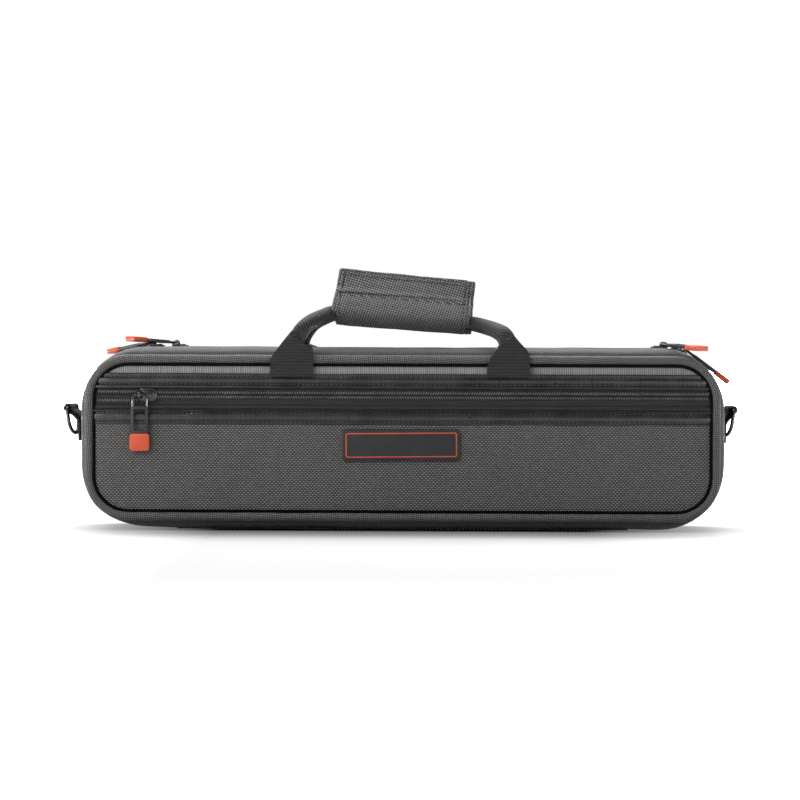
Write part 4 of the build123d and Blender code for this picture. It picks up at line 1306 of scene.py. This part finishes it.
row_end, row_top = GRIP_HALF - 2, GRIP_TOP - 2
grip_rows = [((hand * (GRIP_HALF - inset), -5), (hand * (GRIP_HALF - inset), row_top))
             for inset in (2.3, 5.0) for hand in (-1, 1)]
grip_rows += [((-row_end, GRIP_TOP - inset), (row_end, GRIP_TOP - inset)) for inset in (2.4, 5.0)]
grip_rows.append(((6 - GRIP_HALF, 14.6), (GRIP_HALF - 6, 15.4)))
level = move(*GRIP_MIDDLE) @ Matrix.Rotation(GRIP_TURN, 4, "Y")
for side, end, shift, tape in ((-1, "front", 0.0, "hook"), (1, "rear", 1.8, "loop")):
    body = f"grip_flap_{end}"
    pad = soft_copy(f"grip_pad_{end}", f"grip_wrap_{end}", 2.2, level)
    puff(pad, hold_grip, 1.6)
    apply_modifier(pad, "SUBSURF", levels=2, render_levels=2)
    push(pad, [grip_groove(at) for at in corners_of(pad)])
    put_corners(pad, np.array([slack(point, shift) for point in corners_of(pad)]))
    ruffle(pad, 0.6, 24.0, seed=31 + side)
    map_cloth(pad, lambda at, face_x: in_grip(at.T)[0], lambda at, face_x: round_grip(at))
    dress(pad, grip_cloth, body, "grip_weave", f"grip_wrap_{end}", smooth=60)
    lines = [[slack(grip_line(*at, side * 2.0), shift) for at in np.linspace(*row, 14)] for row in grip_rows]
    stitches(f"grip_stitches_{end}", pad, [[(x, side * 30, z) for x, y, z in line] for line in lines],
             (0, -side, 0), dark_thread, body, "grip_weave", pitch=2.9, length=2.1, width=0.7)
    touch = put(plate(f"grip_touch_tape_{end}", 90.5, 16.0, 1.15, 1.5, 0.3),
                level @ move(y=side * 0.725, z=22.5) @ spin(90, "X"))
    dress(touch, loop_pile, body, "touch_tape", f"grip_{tape}_tape")

# %% [markdown]
# ## D-rings
#
# A D-ring is bent from round wire: a half circle closed by a straight bar. It hangs in a webbing tab
# that runs up the end of the case, loops over the bar and comes down again on itself, so the tab is the
# same kind of strip as the strap, only never curled.

# %% Rings and tabs
RING_Y, RING_BAR_Z = 1.0, 84.8
RING_HALF, RING_LEG = 9.25, 8.75
RING_TURN, RING_LEAN = radians(15.0), radians(9.0)
BAR_LOOP = 2.7                          # radius of the webbing round the bar


def curve_tube(name, points, radius, count=40):
    """Round wire through the points."""
    rows = soft_line(points, count)[0]
    line = primitive(name, bpy.ops.mesh.primitive_circle_add, vertices=count, radius=0.01)
    put_corners(line, rows)
    edit(line)
    first, last = Vector(mm(*rows[0])), Vector(mm(*rows[-1]))
    pick(line, "EDGE", lambda a, b: {(a - first).length < 1e-6, (a - last).length < 1e-6} == {True, False}
         and min((b - first).length, (b - last).length) < 1e-6)
    bpy.ops.mesh.delete(type="EDGE")
    return wire(line, radius, 3, caps=True)


def turn_out(piece, bar_x, side, lean=0.0):
    """The webbing twists towards the bar, so the ring hangs askew and leans on the end of the case."""
    points = corners_of(piece)
    dx, dy, drop = (points - (bar_x, RING_Y, RING_BAR_Z)).T
    swing = np.full(len(points), RING_TURN * side)
    if lean:
        dx = dx + side * drop * sin(lean)
        points[:, 2] = RING_BAR_Z + drop * cos(lean)
    else:
        free = CREST[0] / 2 + 3
        swing *= np.clip((np.abs(points[:, 0]) - free) / (abs(bar_x) - free), 0, 1)
    points[:, 0] = bar_x + dx * np.cos(swing) - dy * np.sin(swing)
    points[:, 1] = RING_Y + dx * np.sin(swing) + dy * np.cos(swing)
    put_corners(piece, points)


bow = [(RING_HALF * cos(radians(a)), -RING_LEG + RING_HALF * sin(radians(a))) for a in range(0, -181, -15)]
shoulder = [(4.5, 0), (7.4, -0.1), (8.9, -1.2), (9.25, -3.2), (9.25, -6)]
loop = [(0, 0), *shoulder, *bow, *[(-y, z) for y, z in reversed(shoulder)], (0, 0)]
for side, name, out, loose in ((-1, "left", 10.8, 4.6), (1, "right", 6.4, 3.0)):
    bar_x = side * (CREST[0] / 2 + out)
    ring = curve_tube(f"d_ring_wire_{name}", [(bar_x, RING_Y + y, RING_BAR_Z + z) for y, z in loop], 1.5, 90)
    weld(ring)
    turn_out(ring, bar_x, side, RING_LEAN)
    dress(ring, black_enamel, f"d_ring_{name}", "black_metal", f"d_ring_{name}", smooth=60)
    wrap = [(out + BAR_LOOP * cos(radians(a)), RING_BAR_Z + BAR_LOOP * sin(radians(a)))
            for a in range(200, -81, -40)]
    path = [(1.0, 61.5), (1.0, 68), (1.1, 75), (out * 0.5, 81.5), *wrap, (out * 0.5 + 1.6, 79.0),
            (loose, 74.5), (loose - 0.2, 68), (loose - 0.4, 61.5)]
    stops = [(side * (CREST[0] / 2 + x), RING_Y, z, 0, 1, 1) for x, z in path]
    tab = curled_strip(f"ring_tab_webbing_{name}", stops, (-side, 0, 0), width=15.0, across=6)
    turn_out(tab, bar_x, side)
    thicken(tab, 1.3, 0.0)
    dress(tab, webbing_cloth, "core", "black_webbing", f"ring_tab_{name}", smooth=50)

# %% [markdown]
# ## The hinge panel
#
# Under the case a long strip of the body cloth is sewn across the closed zippers' place. It is what the lid and
# the rear door swing on. Each half of it is one flat strip of the body cloth, ruffled a little away from the
# middle line between the halves.

# %% Two halves of the hinge panel
HINGE_LENGTH, FOLD_REACH = 318.0, 2.5
for name, nodes, low, high, first, second, fold in (
        ("hinge_cloth_front", ("lid_hinge_leaf",), -27.6, 1.0, "lid", "core", LID_ZIP_Y),
        ("hinge_cloth_rear", ("core_hinge_leaf", "door_hinge_leaf"), 1.0, 27.6, "core", "rear_door",
         DOOR_ZIP_Y)):
    cloth = flat_grid(name, 54, 20, location=mm(0, (low + high) / 2, 1.3))
    resize(cloth, *mm(HINGE_LENGTH, high - low), 1)
    ruffle(cloth, 0.25, 20.0, seed=41, only=lambda at: abs(at.y - 1) > 4)
    thicken(cloth, 1.1)
    map_flat(cloth, along=1)
    cloth.data.materials.append(body_cloth)
    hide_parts(*nodes)
    mm(0, fold - FOLD_REACH, 0)
    mm(0, fold + FOLD_REACH, 0)
    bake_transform(cloth)
    print(f"{cloth.name}: {len(cloth.data.polygons)} faces")

# %% [markdown]
# ## Sliders and pulls
#
# All five zipper ends use the same parts. The slider is two plates joined by a post, with a raised
# bridge on the upper one. A bow of round wire goes through the bridge and holds an open moulded frame
# with a soft coloured tip. Each is modelled once round the origin, along X, and then put in its place:
# the slider on its zipper, and the pull turned about the slider's eye and tipped down onto the cloth.

# %% One slider and one pull
EYE_HEIGHT, WIRE_RADIUS = 3.2, 0.8
PULL_LINK, PULL_BODY_END = 8.0, 27.3
HALF_BRIDGE = [(-2.3, 0, 1.4), (-2.2, 0, 3.0), (-1.5, 0, 4.1)]
BRIDGE = [*HALF_BRIDGE, (0, 0, 4.4), *[(-x, y, z) for x, y, z in reversed(HALF_BRIDGE)]]
HALF_BOW = [(9.0, 5.1, 0), (5.0, 5.1, 0), (2.4, 4.9, 0), (0.5, 3.5, 0), (0, 2.2, 0)]
BOW = [(x, -y, z) for x, y, z in HALF_BOW] + HALF_BOW[::-1]


def slider_body(name, eye_x, turn):
    """Top plate, its ridge, bottom plate, post, two walls and the bridge."""
    parts = [put(plate("part", *size), move(0, y, z)) for size, y, z in (
        ((12.0, 9.0, 1.5, 2.25, 0.45), 0, 0.75), ((8.5, 5.6, 0.9, 1.8, 0.35), 0, 1.8),
        ((12.0, 9.0, 1.15, 2.25, 0.4), 0, -4.75), ((3.0, 0.8, 5.0, 0.3, 0.1), 0, -2.2),
        ((9.0, 0.7, 1.4, 0.3, 0.15), -4.1, -0.3), ((9.0, 0.7, 1.4, 0.3, 0.15), 4.1, -0.3))]
    bridge = resize(curve_tube("bridge", BRIDGE, WIRE_RADIUS), 1, 1.9, 1)
    return joined(name, [*parts, put(bridge, move(eye_x) @ spin(turn, "Z"))])


def pull_frame(name):
    """Moulded frame with a long slot, from the link to the tip."""
    frame_piece = plate(name, PULL_BODY_END - PULL_LINK, 12.5, 2.2, 2.5, 0.4, ends=(True, False))
    open_window(put(frame_piece, move((PULL_BODY_END + PULL_LINK) / 2)), 1.9)
    return frame_piece


# %% Five zipper ends in their places
CORNER_X, CORNER_Z = CREST[0] / 2 - CREST[2], TOP_Z - CREST[2]
fittings = {    # the slider's place, its eye along the zipper, how far the pull is turned, and its tip
    "pocket": (move(SLIDER_X, -PANEL_Y - 0.7, POCKET_ZIP_Z) @ spin(90, "X"), -5.6, -90.0, 0.0),
    "lid_inner": (move(CORNER_X - 0.4, LID_ZIP_Y, TOP_Z), 3.0, -50.0, 4.5),
    "lid_outer": (move(CORNER_X, LID_ZIP_Y, CORNER_Z) @ spin(17.5, "Y") @ move(z=CREST[2]), 3.0, 0.0, 19.5),
    "door_inner": (move(20.4 - CORNER_X, DOOR_ZIP_Y, TOP_Z), -3.0, 217.0, -4.0),
    "door_outer": (move(3.4 - CORNER_X, DOOR_ZIP_Y, TOP_Z), -3.0, 145.0, 10.0),
}
for name, (place, eye_x, turn, tip) in fittings.items():
    dress(put(slider_body(f"slider_body_{name}", eye_x, turn), place),
          black_enamel, f"{name}_slider", "black_metal", f"slider_{name}", smooth=35)
    hang = place @ move(eye_x, 0, EYE_HEIGHT) @ spin(turn, "Z") @ spin(tip, "Y")
    dress(put(curve_tube(f"pull_bow_{name}", BOW, WIRE_RADIUS), hang),
          black_enamel, f"{name}_pull", "pull_rubber", smooth=60)
    dress(put(pull_frame(f"pull_frame_{name}"), hang),
          pull_rubber, f"{name}_pull", "pull_rubber", f"pull_{name}", smooth=35)
    dress(put(plate(f"pull_cap_{name}", 12.2, 13.8, 3.4, 2.1, 0.8), hang @ move(PULL_BODY_END + 6.05)),
          orange_rubber, f"{name}_pull", "orange_rubber", f"pull_tip_{name}", smooth=35)

# %% [markdown]
# ## The inside
#
# The insert and the two linings are foam under plush. Each is a remeshed copy of its solid whose edges
# have been softened, and the linings are puffed up a little between their seams as well. The boards
# stay as they are and only need a plain surface.

# %% Insert and linings
for name, node, body, size, fill in (("insert_plush", "instrument_insert", "core", 3.2, 0.9),
                                     ("lid_lining_plush", "lid_lining", "lid", 4.5, 0.6),
                                     ("back_lining_plush", "back_lining", "rear_door", 4.5, 0.6)):
    soft = soft_copy(name, node, size)
    apply_modifier(soft, "SMOOTH", factor=0.5, iterations=3)
    if node != "instrument_insert":
        faces_y = [corner[1] * 1000 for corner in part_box(node)]
        puff(soft, lambda point: 1.0 if min(abs(point[1] - y) for y in faces_y) < 3 else 0.15, 2.0)
        apply_modifier(soft, "SUBSURF", levels=1, render_levels=1)
    ruffle(soft, 0.4, 14.0, seed=51)
    dress(soft, plush, body, "plush_lining", node, smooth=60)

for node in ("lid_board", "back_board", "divider_board"):
    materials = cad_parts[node].data.materials
    materials.clear()
    materials.append(stiff_board)
